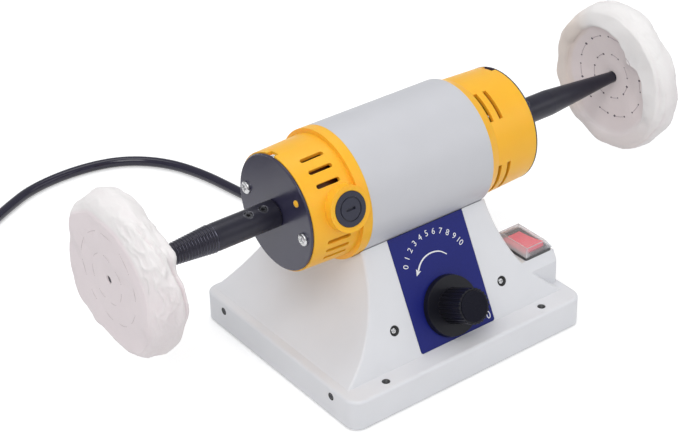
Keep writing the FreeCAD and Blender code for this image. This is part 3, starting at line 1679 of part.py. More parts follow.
# Plug, modelled along X from the end of the cord.
plug_low = -CORD_R - COIL_RISE
neck_end = PLUG_NECK_LONG
plug_face = neck_end + PLUG_LONG
grip_body = block(
    (neck_end, plug_face), (-PLUG_WIDE / 2, PLUG_WIDE / 2), (plug_low, -plug_low)
)
grip_body = grip_body.makeFillet(PLUG_EDGE_R, edges_along(grip_body, ALONG_X))
plug_neck = Part.makeCone(
    PLUG_NECK_R, PLUG_NECK_END_R, PLUG_NECK_LONG, ORIGIN, ALONG_X
)
pins = [
    block(
        (plug_face, plug_face + BLADE_LONG),
        (side * BLADE_APART / 2 - BLADE_THICK / 2, side * BLADE_APART / 2 + BLADE_THICK / 2),
        (0, BLADE_WIDE),
    )
    for side in (-1, 1)
]
pins.append(
    Part.makeCylinder(EARTH_R, EARTH_LONG, vec(plug_face, 0, -EARTH_DOWN), ALONG_X)
)


def at_plug(shape):
    """A piece of the plug, turned and moved to the end of the cord."""
    turn = FreeCAD.Rotation(ALONG_X, plug_heading)
    return moved(shape, FreeCAD.Placement(tail, turn))


power_plug = at_plug(grip_body.fuse(plug_neck))
plug_pins = Part.makeCompound([at_plug(pin) for pin in pins])

NODES = {
    "base_shell": base_shell,
    "bottom_plate": bottom_plate,
    "bottom_plate_screws": bottom_plate_screws,
    "rubber_feet": rubber_feet,
    "control_panel": control_panel,
    "pedestal_screws": pedestal_screws,
    "pot_bracket": pot_bracket,
    "speed_control_board": speed_control_board,
    "board_spacers": board_spacers,
    "board_screws": board_screws,
    "board_components": board_components,
    "speed_pot": speed_pot,
    "pot_nut": pot_nut,
    "pot_shaft": pot_shaft,
    "speed_knob": speed_knob,
    "knob_cap": knob_cap,
    "switch_body": switch_body,
    "switch_terminals": switch_terminals,
    "switch_rocker": switch_rocker,
    "switch_cover": switch_cover,
    "motor_tube": motor_tube,
    "motor_mount_screws": motor_mount_screws,
    "motor_mount_nuts": motor_mount_nuts,
    "left_end_housing": left_end_housing,
    "right_end_housing": right_end_housing,
    "left_end_plate": left_end_plate,
    "right_end_plate": right_end_plate,
    "end_plate_screws": end_plate_screws,
    "stator_core": stator_core,
    "field_coils": field_coils,
    "motor_tie_bolts": motor_tie_bolts,
    "motor_tie_nuts": motor_tie_nuts,
    "brush_holders": brush_holders,
    "carbon_brushes": carbon_brushes,
    "brush_springs": brush_springs,
    "brush_caps": brush_caps,
    "bearing_outer_rings": bearing_outer_rings,
    "bearing_inner_rings": bearing_inner_rings,
    "bearing_balls": bearing_balls,
    "armature_shaft": armature_shaft,
    "armature_core": armature_core,
    "armature_windings": armature_windings,
    "commutator": commutator,
    "cooling_fan": cooling_fan,
    "left_spindle": left_spindle,
    "right_spindle": right_spindle,
    "spindle_set_screws": spindle_set_screws,
    "left_buffing_wheel": left_buffing_wheel,
    "right_buffing_wheel": right_buffing_wheel,
    "strain_relief": strain_relief,
    "cord_run": cord_run,
    "cord_coil": cord_coil,
    "power_plug": power_plug,
    "plug_pins": plug_pins,
}

os.makedirs("parts", exist_ok=True)
for name, shape in NODES.items():
    shape.exportStep(os.path.join("parts", name + ".step"))
    print(f"{name}: solids {len(shape.Solids)}, volume {shape.Volume:.0f}, "
          f"valid {shape.isValid()}")
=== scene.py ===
# A dental polishing lathe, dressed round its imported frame. X runs along the spindle, Y to
# the back and Z up from the table. Named sizes are in millimetres, or in metres where they
# carry MM, and the sizes inside materials are in metres.
import math

import bpy
from mathutils import Matrix, Vector, noise


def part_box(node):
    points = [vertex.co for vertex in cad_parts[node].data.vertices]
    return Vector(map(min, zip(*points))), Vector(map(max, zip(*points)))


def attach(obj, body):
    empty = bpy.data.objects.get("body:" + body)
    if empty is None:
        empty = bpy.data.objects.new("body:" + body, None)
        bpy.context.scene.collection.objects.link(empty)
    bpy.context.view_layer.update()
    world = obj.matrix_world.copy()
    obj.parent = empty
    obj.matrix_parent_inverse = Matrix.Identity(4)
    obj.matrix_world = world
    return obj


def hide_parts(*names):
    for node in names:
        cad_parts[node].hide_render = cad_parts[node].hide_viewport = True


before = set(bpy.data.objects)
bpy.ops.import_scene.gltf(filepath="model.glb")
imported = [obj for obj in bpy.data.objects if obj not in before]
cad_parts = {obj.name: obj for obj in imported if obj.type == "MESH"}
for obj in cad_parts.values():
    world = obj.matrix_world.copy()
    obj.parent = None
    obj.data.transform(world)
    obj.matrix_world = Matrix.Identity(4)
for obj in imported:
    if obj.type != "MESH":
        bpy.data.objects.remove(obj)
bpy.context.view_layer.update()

MM = 0.001
AXIS_UP = 109.8 * MM
UPWARD = Vector((0, 0, 1))
FOLD_SEED = 1

# Without a seed, the creases of the cotton wheels would differ from run to run.
noise.seed_set(FOLD_SEED)


# The camera stands where the photograph was taken from.
def photograph_camera():
    yaw, pitch, roll = (math.radians(turn) for turn in (36.29, -31.56, -1.51))
    ahead = Vector((
        math.sin(yaw) * math.cos(pitch),
        math.cos(yaw) * math.cos(pitch),
        math.sin(pitch),
    ))
    level = ahead.cross(UPWARD).normalized()
    upright = level.cross(ahead)
    across = level * math.cos(roll) + upright * math.sin(roll)
    top = upright * math.cos(roll) - level * math.sin(roll)
    lens = bpy.data.cameras.new("photograph_camera")
    lens.lens, lens.sensor_width = 91.99, 36
    lens.clip_start, lens.clip_end = 0.05, 20
    camera = bpy.data.objects.new("photograph_camera", lens)
    bpy.context.scene.collection.objects.link(camera)
    camera.matrix_world = (
        Matrix.Translation((-0.55206, -0.69923, 0.62215))
        @ Matrix((across, top, -ahead)).transposed().to_4x4()
    )
    bpy.context.scene.camera = camera


photograph_camera()


# Mains cord: out of the strain relief, round to the left over the table, then into a coil
# of two layers, wound inwards below and outwards above.
CORD_R = 3.5
CORD_ROUTE = [
    (17, 104.9, 10.7), (17, 124, 10.7), (13.6, 156.5, 3.5), (8.6, 190, 3.5),
    (3.8, 219.2, 3.5), (-5.4, 246.5, 3.5), (-21.4, 267, 3.5), (-41.6, 278.8, 3.5),
    (-70.9, 283.4, 3.5), (-103.2, 279.5, 3.5), (-127.5, 267.3, 3.5),
]
COIL_X, COIL_Y, COIL_R = -197.9, 279.4, 46.5
COIL_STEP, COIL_RISE, COIL_ENTRY = 7.9, 7.8, -57
LAYER_TURNS, CLIMB_TURNS = 2.25, 0.5
LAST_RUN, COIL_LEAD, COIL_TAIL = 26, 7, 14
COIL_POINTS = 70


def coil_at(turns):
    """The coil's line and its direction after a number of turns, in millimetres."""
    climb_end = LAYER_TURNS + CLIMB_TURNS
    if turns <= LAYER_TURNS:
        radius, growth, height, climb = COIL_R - COIL_STEP * turns, -COIL_STEP, 0, 0
    elif turns >= climb_end:
        radius = COIL_R - COIL_STEP * (LAYER_TURNS + climb_end - turns)
        growth, height, climb = COIL_STEP, COIL_RISE, 0
    else:
        part = (turns - LAYER_TURNS) / CLIMB_TURNS - 0.5
        radius = COIL_R - COIL_STEP * LAYER_TURNS
        radius += COIL_STEP * CLIMB_TURNS * (part**2 - 0.25)
        growth = 2 * COIL_STEP * part
        height = COIL_RISE * (1 + math.sin(math.pi * part)) / 2
        climb = COIL_RISE * math.pi * math.cos(math.pi * part) / 2 / CLIMB_TURNS
    angle = math.radians(COIL_ENTRY) - 2 * math.pi * turns
    out = Vector((math.cos(angle), math.sin(angle), 0))
    along = Vector((math.sin(angle), -math.cos(angle), 0)) * (2 * math.pi * radius)
    centre = Vector((COIL_X, COIL_Y, CORD_R + height))
    return centre + out * radius, (out * growth + along + UPWARD * climb).normalized()


def mains_cord():
    start, heading = coil_at(0)
    lead = start - heading * COIL_LEAD
    turns = 2 * LAYER_TURNS + CLIMB_TURNS
    line = [Vector(place) for place in CORD_ROUTE] + [lead - heading * LAST_RUN, lead]
    line += [coil_at(turns * step / COIL_POINTS)[0] for step in range(COIL_POINTS + 1)]
    end, leaving = coil_at(turns)
    line.append(end + leaving * COIL_TAIL)
    curve = bpy.data.curves.new("mains_cord", "CURVE")
    curve.dimensions = "3D"
    curve.bevel_depth, curve.bevel_resolution = 1.0, 5
    curve.use_fill_caps = True
    spline = curve.splines.new("NURBS")
    spline.points.add(len(line) - 1)
    for point, place in zip(spline.points, line):
        point.co, point.radius = (*(place * MM), 1), CORD_R * MM
    spline.order_u = 3
    spline.use_endpoint_u = True
    spline.resolution_u = 6
    cord = bpy.data.objects.new("mains_cord", curve)
    bpy.context.scene.collection.objects.link(cord)
    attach(cord, "base")
    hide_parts("cord_run", "cord_coil")
    return cord


cord = mains_cord()


# Shader maths.
class Wire:
    """A node's output, which takes part in sums as a number would."""

    def __init__(self, finish, socket):
        self.finish, self.socket = finish, socket

    def __add__(self, other):
        return self.finish.maths("ADD", self, other)

    def __sub__(self, other):
        return self.finish.maths("SUBTRACT", self, other)

    def __mul__(self, other):
        return self.finish.maths("MULTIPLY", self, other)

    def __truediv__(self, other):
        return self.finish.maths("DIVIDE", self, other)


class Finish:
    """A procedural material on one Principled shader."""

    def __init__(self, name, colour, roughness, **shader):
        self.material = bpy.data.materials.new(name)
        self.material.use_nodes = True
        self.tree = self.material.node_tree
        self.tree.nodes.clear()
        self.shader = self.tree.nodes.new("ShaderNodeBsdfPrincipled")
        output = self.tree.nodes.new("ShaderNodeOutputMaterial")
        self.tree.links.new(self.shader.outputs[0], output.inputs["Surface"])
        self.colour = colour
        self.material.diffuse_color = (*colour, 1)
        self.wear({"Base Color": colour, "Roughness": roughness})
        self.wear({key.replace("_", " ").title().replace("Ior", "IOR"): value
                   for key, value in shader.items()})
        self.spot = self.add("TexCoord", out="Object")

    def feed(self, socket, value):
        if isinstance(value, Wire):
            self.tree.links.new(value.socket, socket)
        elif socket.type == "RGBA" and len(value) == 3:
            socket.default_value = (*value, 1)
        else:
            socket.default_value = value

    def wear(self, sockets):
        for key, value in sockets.items():
            self.feed(self.shader.inputs[key], value)

    def add(self, kind, settings=None, sockets=None, out=0):
        made = self.tree.nodes.new("ShaderNode" + kind)
        for key, value in (settings or {}).items():
            setattr(made, key, value)
        for key, value in (sockets or {}).items():
            self.feed(made.inputs[key], value)
        return Wire(self, made.outputs[out])

    def maths(self, operation, *terms):
        return self.add("Math", {"operation": operation}, dict(enumerate(terms)))

    def stretched(self, factors):
        """The place on the piece, drawn out or packed closer along each axis."""
        return self.add("VectorMath", {"operation": "MULTIPLY"}, {0: self.spot, 1: factors})

    def grain(self, scale, detail, roughness=0.5, stretch=None):
        place = self.stretched(stretch) if stretch else self.spot
        return self.add("TexNoise", None, {
            "Vector": place, "Scale": scale, "Detail": detail, "Roughness": roughness,
        })

    def part(self, axis):
        return self.add("SeparateXYZ", None, {0: self.spot}, axis)

    def ramped(self, value, low, high):
        """Nought below low, one above high and smooth between."""
        return self.add("MapRange", {"interpolation_type": "SMOOTHSTEP"}, {
            "Value": value, "From Min": low, "From Max": high,
        })

    def mixed(self, share, under, over):
        """Two colours mixed. The node's colours go in at 6 and 7 and come out at 2."""
        return self.add("Mix", {"data_type": "RGBA"}, {0: share, 6: under, 7: over}, 2)

    def lit(self, factor):
        """The piece's own colour made lighter or darker."""
        return tuple(min(1.0, channel * factor) for channel in self.colour)

    def mottled(self, share, low, high):
        self.wear({"Base Color": self.mixed(share, self.lit(low), self.lit(high))})

    def rough(self, share, low, high):
        self.wear({"Roughness": share * (high - low) + low})

    def raised(self, height, distance, strength, soft_edge=0.0):
        """A bump, over edges that are softened to a radius."""
        sockets = {"Height": height, "Distance": distance, "Strength": strength}
        if soft_edge:
            sockets["Normal"] = self.add("Bevel", {"samples": 4}, {"Radius": soft_edge})
        self.wear({"Normal": self.add("Bump", None, sockets)})


def dress(finish, *names):
    for name in names:
        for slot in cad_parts[name].material_slots:
            slot.material = finish.material


def surfaced(name, colour, roughness, mottle, polish, bump, **shader):
    """A finish from three grains. Each row holds a grain's own terms, then the range of
    shades or of roughness, or the depth, strength and edge of the bump."""
    made = Finish(name, colour, roughness, **shader)
    made.mottled(made.grain(*mottle[0]), *mottle[1:])
    made.rough(made.grain(*polish[0]), *polish[1:])
    made.raised(made.grain(*bump[0]), *bump[1:])
    return made


def moulded(name, colour, roughness, grain=2600, depth=0.00004, edge=0.0, **shader):
    """Moulded or painted plastic: faint flow marks, an even fine grain, soft edges."""
    return surfaced(
        name, colour, roughness, ((38, 3), 0.955, 1.035),
        ((140, 3), roughness - 0.05, roughness + 0.07), ((grain, 1), depth, 0.5, edge),
        **shader,
    )


def metal(name, colour, roughness, streaks=(1, 1, 1), edge=0.0, metallic=1.0, **shader):
    """Bare or oxidised metal with fine tool marks drawn out along them."""
    made = Finish(name, colour, roughness, metallic=metallic, **shader)
    marks = made.grain(900, 3, 0.6, streaks)
    made.mottled(made.grain(120, 4), 0.86, 1.1)
    made.rough(marks, roughness - 0.08, roughness + 0.12)
    made.raised(marks, 0.00003, 0.45, edge)
    return made


shell_white = moulded("shell_white", (0.74, 0.742, 0.77), 0.42, edge=0.0006)
tube_grey = moulded("tube_grey", (0.57, 0.57, 0.60), 0.4, grain=1400, depth=0.00002)
housing_yellow = moulded(
    "housing_yellow", (0.95, 0.48, 0.03), 0.36, grain=1800, depth=0.00003, edge=0.0004,
    specular_ior_level=0.3, subsurface_weight=0.22,
)
housing_yellow.shader.inputs["Subsurface Radius"].default_value = (0.06, 0.016, 0.003)
plate_black = moulded("plate_black", (0.031, 0.029, 0.06), 0.22, 900, 0.00001, 0.0003)
knob_charcoal = moulded(
    "knob_charcoal", (0.008, 0.008, 0.013), 0.3, 2200, 0.00002, 0.0004,
    specular_ior_level=0.3,
)
# Painted shade: the cap is a darker, less shiny copy of the knob's plastic, standing in for
# the little light its face reflects.
cap_charcoal_shaded = moulded(
    "cap_charcoal_shaded", (0.004, 0.004, 0.011), 0.26, 2200, 0.00002, 0.0008,
    specular_ior_level=0.16,
)
bezel_black = moulded("bezel_black", (0.05, 0.05, 0.055), 0.36, 2200, 0.00003, 0.0003)
cap_black = moulded("cap_black", (0.02, 0.021, 0.042), 0.3, 1800, 0.00003, 0.0005)
rubber_black = moulded("rubber_black", (0.02, 0.02, 0.021), 0.62, 1500, 0.00006, 0.0003)
phenolic = moulded("phenolic", (0.10, 0.035, 0.014), 0.4, 1500, 0.00003, 0.0003)
# Painted shade: the dark and amber colours seen through the vent slots.
vent_shade_umber = moulded("vent_shade_umber", (0.15, 0.045, 0.012), 0.5, 1500, 0.00003, 0.0003)
vent_shade_amber = moulded("vent_shade_amber", (0.75, 0.20, 0.012), 0.5, 1500, 0.00003, 0.0003)
fan_black = moulded("fan_black", (0.03, 0.03, 0.032), 0.4, 1500, 0.00003, 0.0003)


def spindle_finish():
    """Blackened steel, turned, with light catching the finest tool marks."""
    made = Finish(
        "spindle_black", (0.016, 0.015, 0.027), 0.34, metallic=0.1, specular_ior_level=0.42
    )
    turned = made.grain(1500, 2, 0.6, (3.5, 0.25, 0.25))
    made.mottled(made.grain(160, 4), 0.75, 1.35)
    made.rough(turned, 0.28, 0.44)
    made.raised(turned, 0.00003, 0.4, 0.0003)
    return made


def cover_finish():
    """Soft moulded cover, clear in the middle and milky towards its ends and back, where
    the milkiness is a painted reflection standing in for the pale sheen of its steeper
    sides.
    """
    made = Finish("cover_clear", (0.82, 0.82, 0.85), 0.3)
    places = [corner.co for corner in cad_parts["switch_cover"].data.vertices]
    shares = []
    for axis, span in zip("XY", zip(*places)):
        low, high = min(span), max(span)
        off = (made.part(axis) - (low + high) / 2) / ((high - low) / 2)
        if axis == "X":
            off = made.maths("ABSOLUTE", off)
        shares.append(made.ramped(off, 0.5, 0.95))
    painted_edge_sheen = made.maths("MAXIMUM", *shares)
    # Painted reflection: the cover grows more opaque and pale towards its ends and back.
    made.wear({"Alpha": painted_edge_sheen * 0.26 + made.grain(150, 3) * 0.08 + 0.1})
    made.rough(made.grain(120, 2), 0.22, 0.4)
    made.raised(made.grain(170, 2), 0.0002, 0.35)
    return made


def laminated(name, colour):
    """Stacked sheet iron: the edges of half-millimetre sheets across the axis."""
    made = Finish(name, colour, 0.42, metallic=0.9)
    sheets = made.maths("SINE", made.part("X") * (2 * math.pi / 0.0005))
    made.mottled(made.ramped(sheets, -0.4, 0.9), 0.6, 1.15)
    made.rough(made.grain(300, 3), 0.34, 0.55)
    made.raised(sheets, 0.00006, 0.7)
    return made


def wound(name, colour, axis, pitch):
    """Lacquered copper wire laid side by side."""
    made = Finish(name, colour, 0.26, metallic=0.85, coat_roughness=0.15)
    made.wear({"Coat Weight": 0.6})
    wave = made.part(axis) + made.grain(90, 2) * (pitch * 0.8)
    turns = made.maths("SINE", wave * (2 * math.pi / pitch))
    # Painted shade: the colour darkens between the turns of wire.
    made.mottled(made.ramped(turns, -0.9, 0.6), 0.35, 1.12)
    made.rough(made.grain(300, 2), 0.2, 0.36)
    made.raised(turns, 0.0002, 0.8)
    return made


def board_finish():
    """Green lacquered board with copper tracks showing through the lacquer."""
    made = Finish("board_green", (0.012, 0.12, 0.035), 0.3)
    cells = made.add(
        "TexVoronoi",
        {"distance": "CHEBYCHEV", "feature": "F2"},
        {"Vector": made.stretched((1, 1, 0)), "Scale": 170, "Randomness": 0.55},
        "Distance",
    )
    tracks = made.ramped(cells, 0.52, 0.56)
    made.wear({"Base Color": made.mixed(tracks, (0.010, 0.095, 0.03), (0.03, 0.22, 0.06))})
    made.rough(made.grain(500, 2), 0.22, 0.4)
    made.raised(tracks, 0.00006, 0.6)
    return made


spindle_black = spindle_finish()
# Printed sheet under a satin film, the red translucent plastic of the rocker with a faint
# painted glow that brightens it, and the cord's flexible sheath.
panel_blue = surfaced(
    "panel_blue", (0.011, 0.016, 0.17), 0.36, ((900, 3, 0.7), 0.82, 1.16),
    ((220, 2), 0.32, 0.44), ((3000, 1), 0.00001, 0.4, 0.0003), specular_ior_level=0.24,
)
rocker_red = surfaced(
    "rocker_red", (0.80, 0.04, 0.09), 0.24, ((120, 2), 0.88, 1.12),
    ((400, 2), 0.18, 0.3), ((1400, 1), 0.00002, 0.3, 0.0003), subsurface_weight=0.25,
)
# Painted light: a faint red glow that makes the rocker brighter.
rocker_red.wear({"Emission Color": (0.9, 0.10, 0.16), "Emission Strength": 0.22})
rocker_red.shader.inputs["Subsurface Radius"].default_value = (0.003, 0.0006, 0.0006)
cover_clear = cover_finish()
cord_black = surfaced(
    "cord_black", (0.012, 0.01, 0.027), 0.14, ((260, 3), 0.8, 1.25),
    ((180, 3), 0.1, 0.2), ((1300, 2), 0.00002, 0.3), specular_ior_level=0.5,
)
bright_steel = metal("bright_steel", (0.62, 0.62, 0.63), 0.24, (1, 1, 1), 0.00015)
dark_steel = metal("dark_steel", (0.07, 0.07, 0.078), 0.36, (1, 1, 1), 0.0002, 0.8)
thread_steel = metal("thread_steel", (0.065, 0.064, 0.085), 0.16, (1, 1, 1), 0.0, 0.8)
rim_steel = metal("rim_steel", (0.16, 0.16, 0.18), 0.2, (1, 1, 1), 0.0002, 0.9)
turned_steel = metal("turned_steel", (0.6, 0.6, 0.61), 0.25, (4, 0.2, 0.2), 0.0002)
sheet_steel = metal("sheet_steel", (0.42, 0.42, 0.43), 0.4, (0.12, 2.5, 1), 0.0003)
brass = metal("brass", (0.78, 0.56, 0.22), 0.26, (1, 1, 1), 0.0002)
copper_bars = metal("copper_bars", (0.83, 0.40, 0.22), 0.3, (4, 0.3, 0.3), 0.0001)
carbon = moulded("carbon", (0.035, 0.034, 0.034), 0.5, 1800, 0.00006, 0.0002, metallic=0.3)
component_black = moulded(
    "component_black", (0.035, 0.035, 0.04), 0.4, 1500, 0.00003, 0.0003
)

dress(shell_white, "base_shell")
dress(sheet_steel, "bottom_plate", "pot_bracket")
dress(dark_steel, "bottom_plate_screws", "pedestal_screws", "spindle_set_screws")
dress(rubber_black, "rubber_feet")
dress(panel_blue, "control_panel")
dress(board_finish(), "speed_control_board")
dress(brass, "board_spacers", "switch_terminals", "plug_pins")
dress(component_black, "board_components", "speed_pot", "power_plug", "strain_relief")
dress(knob_charcoal, "speed_knob")
dress(cap_charcoal_shaded, "knob_cap")
dress(bezel_black, "switch_body")
dress(cap_black, "brush_caps")
dress(rocker_red, "switch_rocker")
dress(cover_clear, "switch_cover")
dress(tube_grey, "motor_tube")
dress(housing_yellow, "left_end_housing", "right_end_housing")
dress(plate_black, "left_end_plate", "right_end_plate")
dress(laminated("core_iron", (0.32, 0.32, 0.33)), "stator_core", "armature_core")
dress(wound("field_wire", (0.72, 0.29, 0.12), "Z", 0.0009), "field_coils")
dress(wound("rotor_wire", (0.72, 0.29, 0.12), "Y", 0.0008), "armature_windings")
dress(phenolic, "brush_holders")
dress(carbon, "carbon_brushes")
dress(copper_bars, "commutator")
dress(fan_black, "cooling_fan")
dress(spindle_black, "left_spindle", "right_spindle")
dress(turned_steel, "armature_shaft", "pot_shaft")
dress(
    bright_steel,
    "board_screws", "pot_nut", "motor_mount_screws", "motor_mount_nuts",
    "end_plate_screws", "motor_tie_bolts", "motor_tie_nuts", "brush_springs",
    "bearing_outer_rings", "bearing_inner_rings", "bearing_balls",
)
cord.data.materials.append(cord_black.material)


# Meshes.
def piece(name, corners, faces, finishes, body, slot=None, which=None, smooth=True):
    """A new piece of the lathe, riding on a body, with its finish or finishes."""
    mesh = bpy.data.meshes.new(name)
    mesh.from_pydata([tuple(corner) for corner in corners], [], faces)
    mesh.validate()
    made = bpy.data.objects.new(name, mesh)
    bpy.context.scene.collection.objects.link(made)
    for finish in finishes:
        mesh.materials.append(finish.material)
    if which:
        mesh.polygons.foreach_set("material_index", which)
    mesh.polygons.foreach_set("use_smooth", [smooth] * len(mesh.polygons))
    mesh.update()
    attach(made, body)
    return made


def grid_faces(rows, columns, rows_close=False, columns_close=True):
    """Quads over a grid of corners, whose rows or columns may close on themselves."""
    quads = []
    for row in range(rows if rows_close else rows - 1):
        low, high = row * columns, (row + 1) % rows * columns
        for column in range(columns if columns_close else columns - 1):
            after = (column + 1) % columns
            quads.append((low + column, low + after, high + after, high + column))
    return quads


def square_to(out):
    """Two directions square to a direction and to each other."""
    side = out.cross(UPWARD) if abs(out.z) < 0.9 else out.cross(Vector((1, 0, 0)))
    side.normalize()
    return side, out.cross(side)


def circle(side, other, sides, spin=0.0):
    """Unit directions round a circle that starts at side and goes to other."""
    turns = (2 * math.pi * step / sides + spin for step in range(sides))
    return [side * math.cos(turn) + other * math.sin(turn) for turn in turns]


def between(table, turn):
    """A smooth value from a table of (degrees, value) that closes after a full turn."""
    turn %= 360
    places = [*table, (table[0][0] + 360, table[0][1])]
    for (low, before), (high, after) in zip(places, places[1:]):
        if low <= turn < high or low <= turn + 360 < high:
            return before + (after - before) * swell((turn - low) % 360, 0, high - low)
    return table[0][1]


def curved(points, share):
    """A point on the smooth line through points."""
    reach = share * (len(points) - 1)
    step = min(int(reach), len(points) - 2)
    part = reach - step
    before = points[max(step - 1, 0)]
    here, after = points[step], points[step + 1]
    beyond = points[min(step + 2, len(points) - 1)]
    return tuple(
        0.5 * (
            2 * b + (c - a) * part + (2 * a - 5 * b + 4 * c - d) * part**2
            + (3 * b - a - 3 * c + d) * part**3
        )
        for a, b, c, d in zip(before, here, after, beyond)
    )


def swell(value, low, high):
    """Nought below low, one above high and smooth between."""
    share = min(1.0, max(0.0, (value - low) / (high - low)))
    return share * share * (3 - 2 * share)


def front_up(turn, out, along):
    """A point round the motor axis: degrees up from the front, radius and X, in mm."""
    angle = math.radians(turn)
    ahead, rise = math.cos(angle) * out * MM, math.sin(angle) * out * MM
    return Vector((along * MM, -ahead, AXIS_UP + rise))


def facing(turn, middle, low, high):
    """One towards a turn, nought away from it and smooth between two cosines."""
    return swell(math.cos(math.radians(turn - middle)), low, high)


# Cloth wheels. A turn is in degrees up from the front; lengths are in millimetres.
def cotton_finish():
    """Soft cotton: cream, blushed or beige by the place, with a weave, slubs and fuzz. The
    blush share also carries painted shade in the creases.
    """
    made = Finish(
        "cotton", (0.85, 0.825, 0.815), 0.93, sheen_weight=0.2, sheen_roughness=0.5
    )
    blush = made.add("Attribute", {"attribute_name": "blush"}, None, "Fac")
    beige = made.add("Attribute", {"attribute_name": "beige"}, None, "Fac")
    cloud = made.grain(30, 4, 0.6)
    cream = made.mixed(cloud, made.lit(0.96), made.lit(1.03))
    rosy = made.mixed(cloud, (0.76, 0.675, 0.69), (0.81, 0.73, 0.74))
    sandy = made.mixed(cloud, (0.72, 0.60, 0.52), (0.79, 0.69, 0.62))
    made.wear({"Base Color": made.mixed(beige, made.mixed(blush, cream, rosy), sandy)})
    beat = 2 * math.pi / 0.0009
    threads = [
        made.maths("SINE", (made.part(axis) + made.grain(60, 2) * 0.0012) * beat)
        for axis in ("Y", "Z")
    ]
    layers = made.grain(420, 2, 0.5, (2.2, 0.08, 0.08))
    fuzz = made.grain(900, 3, 0.7)
    height = threads[0] * threads[1] * 0.25 + fuzz * 0.8 + layers * 0.7
    made.raised(height, 0.00022, 0.5)
    return made


cotton = cotton_finish()
# Painted shade: the dark colour of the needle holes, which are only shade in the cloth.
needle_hole_shade = moulded("needle_hole_shade", (0.12, 0.095, 0.115), 0.9, 1500, 0.0001)
stitch_blush = moulded("stitch_blush", (0.58, 0.51, 0.52), 0.9, 1500, 0.0001)
stitch_pale = moulded("stitch_pale", (0.47, 0.39, 0.42), 0.9, 1500, 0.0001)

AROUND, ROWS = 256, 116
FOLDS_FROM, RIM_FROM, FACE_AT = 30, 36, 192.5


def swells(spot, out):
    """Slow swells of the cloth."""
    loose = swell(out, 10, 40)
    lift = 1.2 * noise.noise(spot) * loose + 0.3 * noise.noise(spot * 2.7) * loose
    return lift + 0.9 * noise.noise(spot * 1.8 + Vector((0, 7, 3))) * swell(out, 7, 16)


def layered(spot, unit, along, out, seed):
    """Fine creases between the layers, up to one."""
    place = unit * (out / 11) + Vector((along / 3.4 + seed, 0, 0))
    place += noise.noise_vector(spot * 1.9) * 1.1
    crease = 1 - min(1.0, abs(noise.noise(place)) * 3.0)
    return crease * crease


def folded(pleat, folds, turn, along, out):
    """The pleats with a table's ridges and creases laid over them."""
    if out <= FOLDS_FROM:
        return pleat
    for at, reach, place, width, slant, height in folds:
        off = (turn - at + 180) % 360 - 180
        aside = (along - place - slant * off) / width
        if abs(off) < 2.5 * reach and abs(aside) < 3:
            pleat += height * math.exp(-((off / reach) ** 2) - aside**2)
    return pleat


def cloth_wheel(name, node, section, folds, tint, crumpled, seed):
    """A wheel of stitched cotton discs. section gives a soft outline at each turn, folds
    are ridges and creases laid over it, tint gives the two colour shares, and crumpled
    how far the rim is creased at each turn."""
    corners, shares = [], []
    for column in range(AROUND):
        turn = 360 * column / AROUND
        angle = math.radians(turn)
        unit = Vector((0, -math.cos(angle), math.sin(angle)))
        line = section(turn)
        outline = [curved(line, step / ROWS) for step in range(ROWS + 1)]
        for step, (along, out) in enumerate(outline):
            before, after = outline[max(step - 1, 0)], outline[min(step + 1, ROWS)]
            run, rise = after[0] - before[0], after[1] - before[1]
            size = math.hypot(run, rise)
            spot = unit * (out / 21) + Vector((along / 17 + seed, 0, 0))
            on_rim = out > RIM_FROM and abs(along) < FACE_AT
            rumple = crumpled(turn) if on_rim else 0.16 * swell(out, 10, 40)
            rumple *= 1 - 0.65 * swell(-abs(along), -181, -175)
            pleat = rumple * (layered(spot, unit, along, out, seed) - 0.35)
            pleat = folded(pleat, folds, turn, along, out)
            blush, beige = tint(turn, along, out)
            # Painted shade: the blush share is raised in the creases, tinting them a darker
            # pink.
            shares.append((min(1.0, blush + 0.45 * max(0.0, 0.1 - pleat)), beige))
            lift = swells(spot, out) + pleat
            along -= rise / size * lift
            out = max(1.2, out + run / size * lift)
            corners.append(front_up(turn, out, along))
    faces = grid_faces(AROUND, ROWS + 1, rows_close=True)
    made = piece(name, corners, faces, [cotton], "rotor", "cotton")
    for number, kind in enumerate(("blush", "beige")):
        layer = made.data.attributes.new(kind, "FLOAT", "POINT")
        layer.data.foreach_set("value", [share[number] for share in shares])
    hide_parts(node)
    return made


# Tables of a turn and the radius there. The two wheels have their creases, rims and backs
# where the photograph shows them.
LEFT_CREASE = [
    (0, 41.5), (10, 40.5), (30, 38.5), (45, 37), (60, 36.5), (90, 36), (120, 39.5),
    (147, 42.6), (167, 40.4), (195, 42.6), (218, 44.6), (240, 41.5), (256, 38.8), (275, 40),
    (292, 41.8), (313, 43.6), (340, 42.6),
]
LEFT_RIM = [
    (0, 47.8), (30, 46.6), (60, 45.6), (90, 46.8), (120, 47.9), (147, 47), (180, 46),
    (218, 48.5), (256, 43.5), (290, 45.8), (313, 47), (340, 47),
]
LEFT_BACK = [
    (0, 48), (10, 47.6), (24, 43), (35, 46.4), (47, 43.6), (60, 41), (71, 39.2), (84, 42.6),
    (100, 44.2), (118, 46), (150, 44), (200, 45), (256, 42), (300, 45.6), (334, 45),
]
RIGHT_FLAP = [
    (0, 34.5), (18, 34), (30, 32.5), (45, 27.5), (60, 31), (75, 34), (90, 35), (112, 36),
    (125, 35.5), (150, 35), (200, 36), (250, 37), (290, 37), (330, 36),
]
RIGHT_NEAR = [
    (0, 45.5), (60, 46), (110, 45.5), (127, 44.5), (143, 43.8), (157, 44.5), (175, 43.6),
    (194, 46), (204, 44.6), (229, 44.4), (270, 45.5), (320, 46),
]
RIGHT_RIM = [
    (0, 49), (40, 47.8), (80, 49.2), (112, 48.8), (127, 47.6), (150, 46.6), (194, 48),
    (206, 46.6), (250, 47.5), (300, 49), (335, 48.4),
]
